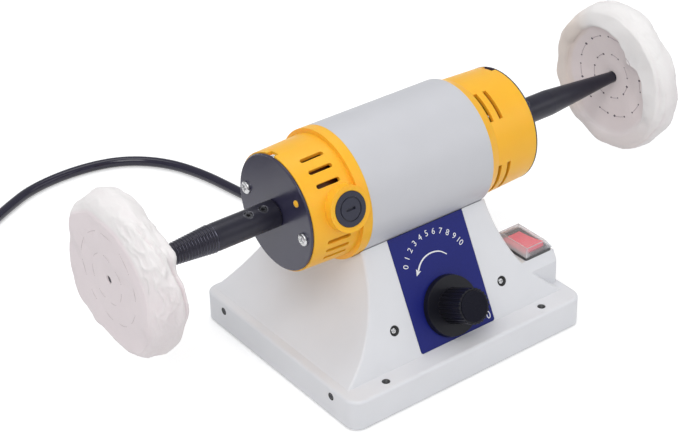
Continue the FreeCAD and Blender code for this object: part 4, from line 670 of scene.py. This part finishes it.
RIGHT_FAR = [
    (0, 46.6), (21, 46.3), (33, 45.2), (44, 43.4), (57, 44.6), (69, 46.6), (110, 46.6),
    (125, 47.4), (160, 45), (210, 45.5), (260, 45), (300, 46), (345, 46.5),
]


def left_section(turn):
    crease, rim, back = (
        between(table, turn) for table in (LEFT_CREASE, LEFT_RIM, LEFT_BACK)
    )
    return [
        (-193.0, 2.5), (-193.5, 9), (-193.9, 24), (-194.1, crease - 3), (-193.3, crease),
        (-191.3, crease + 0.5 * (rim - crease)),
        (-187.6, crease + 0.86 * (rim - crease)),
        (-182.5, rim), (-177.5, (rim + back) / 2 + 0.4), (-173.4, back),
        (-171.8, back - 3.5), (-172.8, 36), (-177.2, 26), (-181.0, 16), (-181.7, 8),
        (-181.7, 3.7),
    ]


def right_section(turn):
    flap, near, rim, far = (
        between(table, turn) for table in (RIGHT_FLAP, RIGHT_NEAR, RIGHT_RIM, RIGHT_FAR)
    )
    lip = 0.5 + 1.9 * facing(turn, 55, 0.1, 0.7)
    return [
        (181.7, 3.7), (181.4, 8), (180.6, 16), (177.4, flap - 5), (176.4, flap - 1),
        (175.6 - lip, flap + 0.5), (174.7 - lip * 0.8, flap + 2.5), (174.2, near - 2.5),
        (175.6, near), (179.5, rim - 0.9), (185, rim), (190, (rim + far) / 2 + 0.3),
        (193.2, far - 0.6), (194.1, far - 4.5), (193.9, 28), (193.6, 12), (193.0, 2.0),
    ]


def left_tint(turn, along, out):
    crease = between(LEFT_CREASE, turn)
    low = facing(turn, 318, 0.1, 0.9)
    rim = 0.12 + 0.55 * low
    if along < -186:
        past = swell(out, crease - 1.2 - 3 * low, crease + 1.8 + 2 * low)
        return 1 - (1 - rim) * past, 0.0
    if along > -180 and out < 40:
        return 1 - swell(out, 30, 38), 0.0
    return rim, 0.0


def left_crumpled(turn):
    return 0.32 + 0.85 * facing(turn, 32, 0.6, 0.95)


def right_crumpled(turn):
    return 0.25 + 0.25 * facing(turn, 20, 0.3, 0.9)


def right_tint(turn, along, out):
    flap = between(RIGHT_FLAP, turn)
    side = facing(turn, 178, 0.35, 0.8)
    if along < 180 or (along < 185 and out < 30):
        bottom = facing(turn, 262, -0.1, 0.8)
        blush = 1 - swell(out, flap - 0.8 - 4 * bottom, flap + 0.8 + 4 * bottom)
        low = 0.62 * bottom
        sand = side * swell(out, 30, 34) * (0.75 - 0.35 * swell(along, 175, 180))
        return max(blush, low), max(0.2 * blush, sand, 0.35 * low * swell(out, 34, 40))
    blush = 0.3 * facing(turn, 320, 0.2, 0.9)
    return (1 - swell(out, 30, 38), 0) if along > 193 else (blush, 0.5 * side)


# Each fold: middle turn, its reach in degrees, place along X, width, slant, height.
LEFT_FOLDS = [
    (52, 20, -185.5, 1.3, -0.16, 1.1), (44, 18, -182.4, 0.9, -0.19, -1.2),
    (36, 20, -180.0, 1.2, -0.15, 1.2), (30, 16, -177.6, 0.8, -0.17, -1.3),
    (24, 16, -184.0, 1.2, -0.2, 0.9), (12, 20, -175.2, 0.9, -0.03, -1.9),
    (16, 22, -178.2, 1.5, -0.08, 0.8), (-30, 40, -179.0, 2.6, 0.02, 0.6),
    (100, 34, -180.0, 3.0, -0.04, 0.6), (300, 26, -186.5, 1.6, 0.05, -0.5),
    (170, 60, -182.0, 2.4, 0.03, -0.8), (225, 40, -178.0, 2.0, -0.06, 0.9),
]
RIGHT_FOLDS = [
    (14, 26, 176.8, 1.0, 0.02, -0.6), (60, 30, 182.0, 3.2, 0.03, 0.7),
    (330, 24, 179.2, 1.4, 0.06, -0.7), (350, 30, 184.0, 2.0, -0.04, 0.6),
    (174, 9, 174.8, 1.3, 0.0, 0.8), (159, 5, 175.0, 1.2, 0.0, -0.9),
    (145, 8, 174.8, 1.3, 0.0, 0.8), (131, 4, 175.0, 1.2, 0.0, -0.6),
    (120, 30, 186.0, 2.2, 0.05, -0.7), (230, 40, 182.0, 2.4, 0.04, 0.8),
    (280, 30, 186.5, 1.8, -0.05, -0.6),
]

left_wheel = cloth_wheel(
    "left_cloth_wheel", "left_buffing_wheel",
    left_section, LEFT_FOLDS, left_tint, left_crumpled, 2.3,
)
right_wheel = cloth_wheel(
    "right_cloth_wheel", "right_buffing_wheel",
    right_section, RIGHT_FOLDS, right_tint, right_crumpled, 5.1,
)


def on_wheel(wheel, side, turn, out):
    """The point on a wheel's face at a turn and radius, and how it faces."""
    start = front_up(turn, out, 0)
    start.x = wheel.data.vertices[0].co.x + side * 30 * MM
    hit, place, normal, _ = wheel.ray_cast(start, Vector((-side, 0, 0)))
    return (place, normal) if hit else (start, Vector((side, 0, 0)))


def tube_along(line, radius, sides=8, ends=0.35):
    """Corners and faces of a round thread along a line of points, thinner at its ends."""
    corners = []
    count = len(line)
    for step, place in enumerate(line):
        ahead = (line[min(step + 1, count - 1)] - line[max(step - 1, 0)]).normalized()
        side = ahead.cross(Vector((1, 0, 0)))
        if side.length < 0.1:
            side = ahead.cross(UPWARD)
        side.normalize()
        other = ahead.cross(side)
        end = ends if step in (0, count - 1) else 1
        corners += [place + across * radius * end for across in circle(side, other, sides)]
    faces = grid_faces(count, sides)
    faces.append(tuple(reversed(range(sides))))
    faces.append(tuple((count - 1) * sides + corner for corner in range(sides)))
    return corners, faces


def joined(parts):
    corners, faces = [], []
    for own_corners, own_faces in parts:
        shift = len(corners)
        corners += own_corners
        faces += [tuple(index + shift for index in face) for face in own_faces]
    return corners, faces


def needle_hole(place, normal, size):
    """A small tuft where the thread goes through the cloth, dark where its finish is the
    painted shade of a needle hole.
    """
    side = normal.cross(UPWARD).normalized()
    other = normal.cross(side)
    corners, rows, sides = [], 4, 10
    for row in range(rows):
        share = row / (rows - 1)
        reach = size * MM * math.cos(share * math.pi / 2 * 0.9)
        for corner in range(sides):
            angle = 2 * math.pi * corner / sides
            corners.append(
                place
                + (side * math.cos(angle) * 1.25 + other * math.sin(angle)) * reach
                + normal * (0.22 * MM * math.sin(share * math.pi / 2))
            )
    faces = grid_faces(rows, sides)
    faces.append(tuple((rows - 1) * sides + corner for corner in range(sides)))
    return corners, faces


# Each ring of stitches: how many, the first one's turn, the ring's radius, how far it lies
# off the middle, and towards which turn.
STITCH_RINGS = ((14, 94, 14.9, 1.0, 150), (20, 73, 27.2, 2.3, 45))
THREAD_STEPS = 10


def thread_line(wheel, side, start, end):
    """The thread over one gap, with its ends sunk in the cloth."""
    turn, out = start
    sweep = (end[0] - turn + 180) % 360 - 180
    line = []
    for step in range(THREAD_STEPS + 1):
        share = step / THREAD_STEPS
        place, normal = on_wheel(
            wheel, side, turn + sweep * share, out + (end[1] - out) * share
        )
        lift = math.sin(math.pi * share) * 0.2 - 0.1
        line.append(place + normal * (lift * MM))
    return line


def running_stitch(name, wheel, side, thread_r, finish, dot_r=0, dots=None):
    """Two rings of running stitch: the thread shows over every other gap between the
    needle holes, which wander a little off their ring."""
    threads, holes = [], []
    for ring, (count, first, mean, shift, towards) in enumerate(STITCH_RINGS):
        places = []
        for stitch in range(count):
            seed = Vector((stitch * 1.7, ring * 5.3, side))
            turn = first - 360 * (stitch + 0.3 * noise.noise(seed)) / count
            out = mean + shift * math.cos(math.radians(turn - towards))
            places.append((turn, out + 0.7 * noise.noise(seed * 2.0)))
        for stitch, (turn, out) in enumerate(places):
            if dots:
                place, normal = on_wheel(wheel, side, turn, out)
                size = dot_r * (0.7 + 0.5 * noise.noise(place * 900))
                holes.append(needle_hole(place, normal, size))
            if stitch % 2 == ring:
                line = thread_line(wheel, side, (turn, out), places[(stitch + 1) % count])
                threads.append(tube_along(line, thread_r * MM))
    piece(name, *joined(threads), [finish], "rotor", "cotton")
    if dots:
        piece(name + "_holes", *joined(holes), [dots], "rotor", "cotton")


running_stitch(
    "right_wheel_stitches", right_wheel, -1, 0.18, stitch_pale, 0.8, needle_hole_shade
)
running_stitch("right_wheel_outer_stitches", right_wheel, 1, 0.22, cotton)
running_stitch(
    "left_wheel_stitches", left_wheel, -1, 0.13, stitch_blush, 0.34, stitch_blush
)
running_stitch(
    "left_wheel_inner_stitches", left_wheel, 1, 0.24, stitch_pale, 0.8, needle_hole_shade
)


# Thread on the left taper, on which a wheel screws itself tight. A row of the section is
# a shift along X and a lift off the taper.
TAPER_R, TIP_R, TAPER_FROM, TAPER_LONG = 8.2, 2.6, 125, 67
THREAD_FROM, THREAD_TO, THREAD_PITCH = 126.5, 181.0, 1.9
THREAD_SIDES, THREAD_FADE, THREAD_SUNK = 36, 25, 0.1
THREAD_SECTION = (
    (-0.68, -0.15), (-0.3, 0.34), (-0.1, 0.5), (0.1, 0.5), (0.3, 0.34), (0.68, -0.15),
)


def taper_radius(along):
    return TAPER_R - (TAPER_R - TIP_R) * (along - TAPER_FROM) / TAPER_LONG


def taper_thread():
    corners = []
    steps = round((THREAD_TO - THREAD_FROM) / THREAD_PITCH * THREAD_SIDES)
    for step in range(steps + 1):
        along = THREAD_FROM + THREAD_PITCH * step / THREAD_SIDES
        angle = 2 * math.pi * step / THREAD_SIDES
        fade = min(1.0, step / THREAD_FADE, (steps - step) / THREAD_FADE)
        for shift, lift in THREAD_SECTION:
            x = along + shift
            out = taper_radius(x) + (lift + THREAD_SUNK) * fade - THREAD_SUNK
            corners.append(Vector((
                -x * MM, math.cos(angle) * out * MM, AXIS_UP + math.sin(angle) * out * MM,
            )))
    faces = grid_faces(steps + 1, len(THREAD_SECTION), columns_close=False)
    piece("left_taper_thread", corners, faces, [thread_steel], "rotor", "spindle_black")


taper_thread()


# Printed marks on the front panel: the turning arrow, a plain scale and a plain low mark.
# Places on the panel are to the right and up the slope from the middle of its foot.
PANEL_LEAN = math.radians(27)
PANEL_FOOT = Vector((0, -63.5, 20.4)) * MM
PANEL_RIGHT = Vector((1, 0, 0))
PANEL_UP = Vector((0, math.sin(PANEL_LEAN), math.cos(PANEL_LEAN)))
PANEL_OUT = PANEL_RIGHT.cross(PANEL_UP)
ARROW_LINE = (
    (8.9, 49.7), (5.4, 52.6), (1.5, 54.0), (-3.2, 54.2), (-7.8, 52.9), (-11.2, 50.5),
    (-13.7, 47.4),
)
ARROW_STEPS = 40
DIAL_UP, DIAL_R, DIAL_FIRST, DIAL_STEP = 43, 23.0, -66, 12.8
NUMBER_SIZE, LOW_MARK_SIZE, LOW_MARK = 5.2, 6.6, (24.9, 4.9)


def on_panel(x, y, proud=0.04):
    return PANEL_FOOT + (PANEL_RIGHT * x + PANEL_UP * y + PANEL_OUT * proud) * MM


# White ink, a little uneven.
print_white = surfaced(
    "print_white", (0.84, 0.84, 0.86), 0.35, ((1500, 3, 0.7), 0.9, 1.04),
    ((600, 2), 0.3, 0.42), ((2500, 1), 0.00001, 0.4),
)


def panel_arrow():
    """A thin arc that widens a little towards its head."""
    corners, faces = [], []
    for step in range(ARROW_STEPS + 1):
        share = step / ARROW_STEPS
        here = curved(ARROW_LINE, share)
        after = curved(ARROW_LINE, min(1, share + 0.01))
        before = curved(ARROW_LINE, max(0, share - 0.01))
        slant = math.atan2(after[1] - before[1], after[0] - before[0])
        half = 0.3 + 0.25 * share
        for sign in (-1, 1):
            corners.append(on_panel(
                here[0] - math.sin(slant) * half * sign,
                here[1] + math.cos(slant) * half * sign,
            ))
        if step:
            low = 2 * step - 2
            faces.append((low, low + 2, low + 3, low + 1))
    end, lead = ARROW_LINE[-1], ARROW_LINE[-2]
    slant = math.atan2(end[1] - lead[1], end[0] - lead[0])
    first = len(corners)
    for along, aside in ((3.4, 0), (-0.5, 1.9), (0.3, 0), (-0.5, -1.9)):
        corners.append(on_panel(
            end[0] + along * math.cos(slant) - aside * math.sin(slant),
            end[1] + along * math.sin(slant) + aside * math.cos(slant), 0.05,
        ))
    faces.append(tuple(range(first, first + 4)))
    return corners, faces


piece("panel_arrow", *panel_arrow(), [print_white], "base", "panel_blue", smooth=False)


def lettered(name, text, size, place, turn=0.0):
    """Flat printed figures on the panel, as a thin mesh."""
    words = bpy.data.curves.new(name, "FONT")
    words.body, words.size = text, size * MM
    words.align_x, words.align_y = "CENTER", "CENTER"
    words.extrude = 0.00001
    words.resolution_u = 4
    holder = bpy.data.objects.new(name + "_form", words)
    bpy.context.scene.collection.objects.link(holder)
    bpy.context.view_layer.update()
    mesh = bpy.data.meshes.new_from_object(
        holder.evaluated_get(bpy.context.evaluated_depsgraph_get())
    )
    bpy.data.objects.remove(holder)
    mesh.name = name
    axes = Matrix((PANEL_RIGHT, PANEL_UP, PANEL_OUT)).transposed().to_4x4()
    mesh.transform(Matrix.Translation(place) @ axes @ Matrix.Rotation(turn, 4, "Z"))
    made = bpy.data.objects.new(name, mesh)
    bpy.context.scene.collection.objects.link(made)
    mesh.materials.clear()
    mesh.materials.append(print_white.material)
    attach(made, "base")


for number in range(11):
    lean = math.radians(DIAL_FIRST + DIAL_STEP * number)
    lettered(
        "panel_number_%d" % number, str(number), NUMBER_SIZE,
        on_panel(DIAL_R * math.sin(lean), DIAL_UP + DIAL_R * math.cos(lean)), -lean,
    )
lettered("panel_low_mark", "0", LOW_MARK_SIZE, on_panel(*LOW_MARK))


# Screws and turned trim. The turns, radii and places are those of the solids.
PLATE_FACE, PLATE_SCREW_OUT, PLATE_SCREW_TURNS = 84.2, 28.0, (-8.6, 171.4)
FRONT_SCREW_X, FRONT_SCREW_UP, FRONT_SCREW_SINK = 41.3, 20.6, 1.6
TRAY_SCREW = (88.6, 55, 14.4)
NOTCH_TURN, NOTCH_OUT, NOTCH_X = 96.5, 33.3, -81.2
BENCH_HOLE_X, BENCH_HOLE_Y = 60.2, -69.7
SET_SCREWS_AT, SET_SCREW_TURN, RIM_SEAT_R = (93.8, 103.7), 71, 7.9
PEG_TURN, PEG_OUT = 36.6, 26.7
PLATE_EDGE_R = 36.1
CROSS_REACH, CROSS_HALF = 0.62, 0.15


def screw_head(centre, out, head_r, head, recess, spin, shank=3.0):
    """A rounded head with a cross recess, out of a face along a direction."""
    side, other = square_to(out)
    corners, around, rings = [], 72, 26
    arm, half = head_r * CROSS_REACH, head_r * CROSS_HALF
    for ring in range(rings):
        share = ring / (rings - 1)
        radius = head_r * share
        dome = head * (0.45 + 0.55 * math.sqrt(max(0, 1 - share**2.4)))
        for step in range(around):
            angle = 2 * math.pi * step / around + spin
            x, y = radius * math.cos(angle - spin), radius * math.sin(angle - spin)
            sunk = 0.0
            for along, across in ((abs(x), abs(y)), (abs(y), abs(x))):
                inside = swell(half + 0.12 - across, 0, 0.24)
                inside *= swell(arm - along, -0.05, 0.5)
                sunk = max(sunk, inside * (1 - 0.35 * along / arm))
            corners.append(
                centre
                + (side * math.cos(angle) + other * math.sin(angle)) * radius * MM
                + out * (dome - sunk * recess) * MM
            )
    for radius, level in ((head_r, 0.0), (head_r * 0.5, -shank)):
        corners += [
            centre + across * radius * MM + out * level * MM
            for across in circle(side, other, around, spin)
        ]
    return corners, grid_faces(rings + 2, around)


def end_plate_screws():
    heads = [
        screw_head(
            front_up(turn, PLATE_SCREW_OUT, side * PLATE_FACE), Vector((side, 0, 0)),
            3.8, 2.2, 1.5, spin=0.5 + 0.7 * side + turn / 90,
        )
        for side in (-1, 1) for turn in PLATE_SCREW_TURNS
    ]
    made = piece(
        "plate_screws_recessed", *joined(heads), [bright_steel], "base", "bright_steel"
    )
    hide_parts("end_plate_screws")


end_plate_screws()


def turned_ring(centre, out, profile, sides=40, closed=False):
    """Corners and faces of a ring turned round a line. A row of the profile is a radius
    and a height in millimetres."""
    side, other = square_to(out)
    corners = [
        centre + (across * radius + out * height) * MM
        for radius, height in profile for across in circle(side, other, sides)
    ]
    return corners, grid_faces(len(profile), sides, closed)


# Recessed heads in the sloping front, in the ends of the flange, and in the left notch,
# with black cups round the first two kinds: painted shade that darkens the recesses round
# them.
def small_screws():
    slope, shade_cups = [], []
    for side in (-1, 1):
        place = side * FRONT_SCREW_X, FRONT_SCREW_UP
        slope.append(screw_head(
            on_panel(*place, -FRONT_SCREW_SINK), PANEL_OUT, 1.75, 1.1, 0.8, side + 0.3
        ))
        shade_cups.append(turned_ring(
            on_panel(*place, 0), PANEL_OUT,
            ((1.8, -1.6), (2.1, -1.2), (2.8, -0.2), (3.17, -0.12), (3.17, -1.6)),
        ))
    made = piece(
        "front_screws_recessed", *joined(slope), [bright_steel], "base", "dark_steel"
    )
    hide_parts("pedestal_screws")
    ends = []
    for end in (-1, 1):
        for way in (-1, 1):
            x, y, z = TRAY_SCREW
            centre, out = Vector((end * x, way * y, z)) * MM, Vector((end, 0, 0))
            ends.append(screw_head(centre, out, 1.7, 0.1, 0.55, 0.4 * end + way, 4.5))
            shade_cups.append(turned_ring(
                centre, out,
                ((1.6, -0.3), (1.75, 0.0), (2.3, 0.3), (2.6, 0.05), (2.2, -0.6)),
            ))
    made = piece("tray_screws_recessed", *joined(ends), [dark_steel], "base", "dark_steel")
    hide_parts("bottom_plate_screws")
    # Painted shade: black cups that darken the recesses round the screws.
    piece("screw_shade_cups", *joined(shade_cups), [rubber_black], "base", "rubber_black")
    out = front_up(NOTCH_TURN, 1, 0) - front_up(0, 0, 0)
    seat = front_up(NOTCH_TURN, NOTCH_OUT, NOTCH_X)
    notch = screw_head(seat, out.normalized(), 2.3, 1.5, 0.8, 0.9)
    piece("notch_screw", *notch, [bright_steel], "base", "bright_steel")


small_screws()


# Painted shade: black sleeves in the bench holes, from the flange down to the tray, that
# keep the holes dark inside.
def bench_sleeves():
    profile = ((2.1, 20.2), (2.47, 20.2), (2.47, 2.4), (2.1, 2.4))
    parts = [
        turned_ring(Vector((x, BENCH_HOLE_Y, 0)) * MM, UPWARD, profile, closed=True)
        for x in (-BENCH_HOLE_X, BENCH_HOLE_X)
    ]
    piece("bench_hole_shade_sleeves", *joined(parts), [bezel_black], "base", "rubber_black")


bench_sleeves()


# A rolled rim round each set screw, the yellow pegs, and the edge of the right end plate.
def small_rims():
    rims, pegs, sides = [], [], 48
    rolled = ((2.3, -0.3), (2.45, 0.2), (2.8, 0.36), (3.2, 0.22), (3.45, -0.2))
    for side in (-1, 1):
        for at in SET_SCREWS_AT:
            corners = []
            for radius, lift in rolled:
                for step in range(sides):
                    angle = 2 * math.pi * step / sides
                    aside = math.degrees(math.sin(angle) * radius / RIM_SEAT_R)
                    corners.append(front_up(
                        SET_SCREW_TURN + aside, RIM_SEAT_R + lift,
                        side * at + math.cos(angle) * radius,
                    ))
            rims.append((corners, grid_faces(len(rolled), sides)))
        pegs.append(turned_ring(
            front_up(PEG_TURN, PEG_OUT, side * PLATE_FACE), Vector((side, 0, 0)),
            ((2.1, -0.1), (2.05, 0.35), (1.6, 0.75), (0.9, 0.95), (0.1, 1.0)),
        ))
    piece("set_screw_rims", *joined(rims), [rim_steel], "rotor", "dark_steel")
    piece("locating_pegs", *joined(pegs), [housing_yellow], "base", "housing_yellow")
    edge = turned_ring(
        front_up(0, 0, 0), Vector((1, 0, 0)),
        ((PLATE_EDGE_R - 1.4, 82.8), (PLATE_EDGE_R, 82.75), (PLATE_EDGE_R, 83.4),
         (PLATE_EDGE_R - 0.3, 83.7), (PLATE_EDGE_R - 1.4, 83.75)),
        128, closed=True,
    )
    piece("right_plate_edge", *edge, [plate_black], "base", "plate_black")


small_rims()


# Painted highlights: pale bars along the moulded edges of the switch's cover, standing in
# for light caught there.
def cover_edges():
    low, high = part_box("switch_cover")
    lean_x, lean_y = 2.6 * MM, 2.4 * MM
    inset = 0.35 * MM
    foot = [
        Vector((x, y, low[2] + inset))
        for x, y in (
            (low[0], low[1]), (high[0], low[1]), (high[0], high[1]), (low[0], high[1])
        )
    ]
    centre = (Vector(low) + Vector(high)) / 2
    top = []
    for corner in foot:
        across = math.copysign(lean_x + inset, centre.x - corner.x)
        along = math.copysign(lean_y + inset, centre.y - corner.y)
        top.append(Vector((corner.x + across, corner.y + along, high[2] - inset)))
    bars = []
    for step in range(4):
        after = (step + 1) % 4
        for ends in ((top[step], top[after]), (foot[step], top[step])):
            line = [ends[0].lerp(ends[1], share / 6) for share in range(7)]
            bars.append(tube_along(line, 0.3 * MM, 8, 0.9))
    piece("switch_cover_edge_highlights", *joined(bars), [cover_edge_highlight], "base", "cover_clear")


# Painted highlight: the pale, half-clear colour of the bars along the cover's edges.
cover_edge_highlight = moulded("cover_edge_highlight", (0.72, 0.73, 0.76), 0.3, 1500, 0.00002)
cover_edge_highlight.wear({"Alpha": cover_edge_highlight.grain(200, 2) * 0.2 + 0.32})
cover_edges()


# Painted shade: liners behind the vent slots, dark over the brushes and amber elsewhere,
# stand in for the shaded inside seen through the slots. A row is a name, an end of the
# motor, from and to along X, from and to round it, a radius and a finish.
def slot_liners():
    kinds = (
        ("left_upper", -1, 56, 73.2, 2, 178, 30.5, vent_shade_umber),
        ("left_lower", -1, 56, 73.2, 178, 362, 30.6, vent_shade_amber),
        ("right", 1, 58, 72, -175, 180, 30.6, vent_shade_amber),
    )
    for name, side, low, high, first, last, inner, finish in kinds:
        corners, around, outer = [], 72, inner + 0.8
        for out, along in ((outer, low), (outer, high), (inner, high), (inner, low)):
            corners += [
                front_up(first + (last - first) * step / around, out, side * along)
                for step in range(around + 1)
            ]
        wide = around + 1
        quads = grid_faces(4, wide, rows_close=True, columns_close=False)
        quads += [tuple(row * wide for row in range(4)),
                  tuple(row * wide + around for row in reversed(range(4)))]
        piece(name + "_slot_liner", corners, quads, [finish], "base", "phenolic")


slot_liners()


# Studio: a pale floor that keeps the shadow, and soft light.
def plain_stage():
    scene = bpy.context.scene
    scene.view_settings.view_transform = "Standard"
    floor_mesh = bpy.data.meshes.new("studio_floor")
    reach = 6
    floor_mesh.from_pydata(
        [(-reach, -reach, 0), (reach, -reach, 0), (reach, reach, 0), (-reach, reach, 0)],
        [], [(0, 1, 2, 3)],
    )
    floor = bpy.data.objects.new("studio_floor", floor_mesh)
    scene.collection.objects.link(floor)
    floor.location.z = -0.0002
    paper = Finish("studio_paper", (0.8, 0.8, 0.8), 0.9)
    path = [paper.add("LightPath", None, None, "Is %s Ray" % kind)
            for kind in ("Camera", "Glossy", "Transmission")]
    seen = paper.maths("MINIMUM", path[0] + path[1] + path[2], 1.0)
    paper.wear({"Emission Color": (1, 1, 1), "Emission Strength": seen * 0.36})
    floor_mesh.materials.append(paper.material)
    world = bpy.data.worlds.new("studio")
    scene.world = world
    world.use_nodes = True
    nodes, links = world.node_tree.nodes, world.node_tree.links
    nodes.clear()
    rays = nodes.new("ShaderNodeLightPath")
    backdrop, light = nodes.new("ShaderNodeBackground"), nodes.new("ShaderNodeBackground")
    light.inputs["Color"].default_value = (0.96, 0.98, 1, 1)
    light.inputs["Strength"].default_value = 0.56
    backdrop.inputs["Color"].default_value = (1, 1, 1, 1)
    backdrop.inputs["Strength"].default_value = 1
    either, mix = nodes.new("ShaderNodeMath"), nodes.new("ShaderNodeMixShader")
    either.operation = "MAXIMUM"
    links.new(rays.outputs["Is Camera Ray"], either.inputs[0])
    links.new(rays.outputs["Is Transmission Ray"], either.inputs[1])
    links.new(either.outputs[0], mix.inputs[0])
    links.new(light.outputs[0], mix.inputs[1])
    links.new(backdrop.outputs[0], mix.inputs[2])
    output = nodes.new("ShaderNodeOutputWorld")
    links.new(mix.outputs[0], output.inputs["Surface"])


def soft_lamp(name, place, aim, size, power, colour=(1, 1, 1)):
    lamp = bpy.data.lights.new(name, "AREA")
    lamp.shape, lamp.size, lamp.size_y = "RECTANGLE", *size
    lamp.energy, lamp.color = power, colour
    holder = bpy.data.objects.new(name, lamp)
    bpy.context.scene.collection.objects.link(holder)
    holder.location = place
    holder.rotation_mode = "QUATERNION"
    holder.rotation_quaternion = (Vector(aim) - Vector(place)).to_track_quat("-Z", "Y")


plain_stage()
soft_lamp("key_box", (-0.9, -0.7, 1.5), (0, 0, 0.08), (1.1, 1.1), 12.6)
soft_lamp("fill_box", (1.1, -1.2, 0.9), (0, 0, 0.08), (1.2, 0.9), 4.2)
soft_lamp("top_box", (0.1, 0.5, 1.7), (0, 0, 0.08), (1.4, 1.0), 7.6)
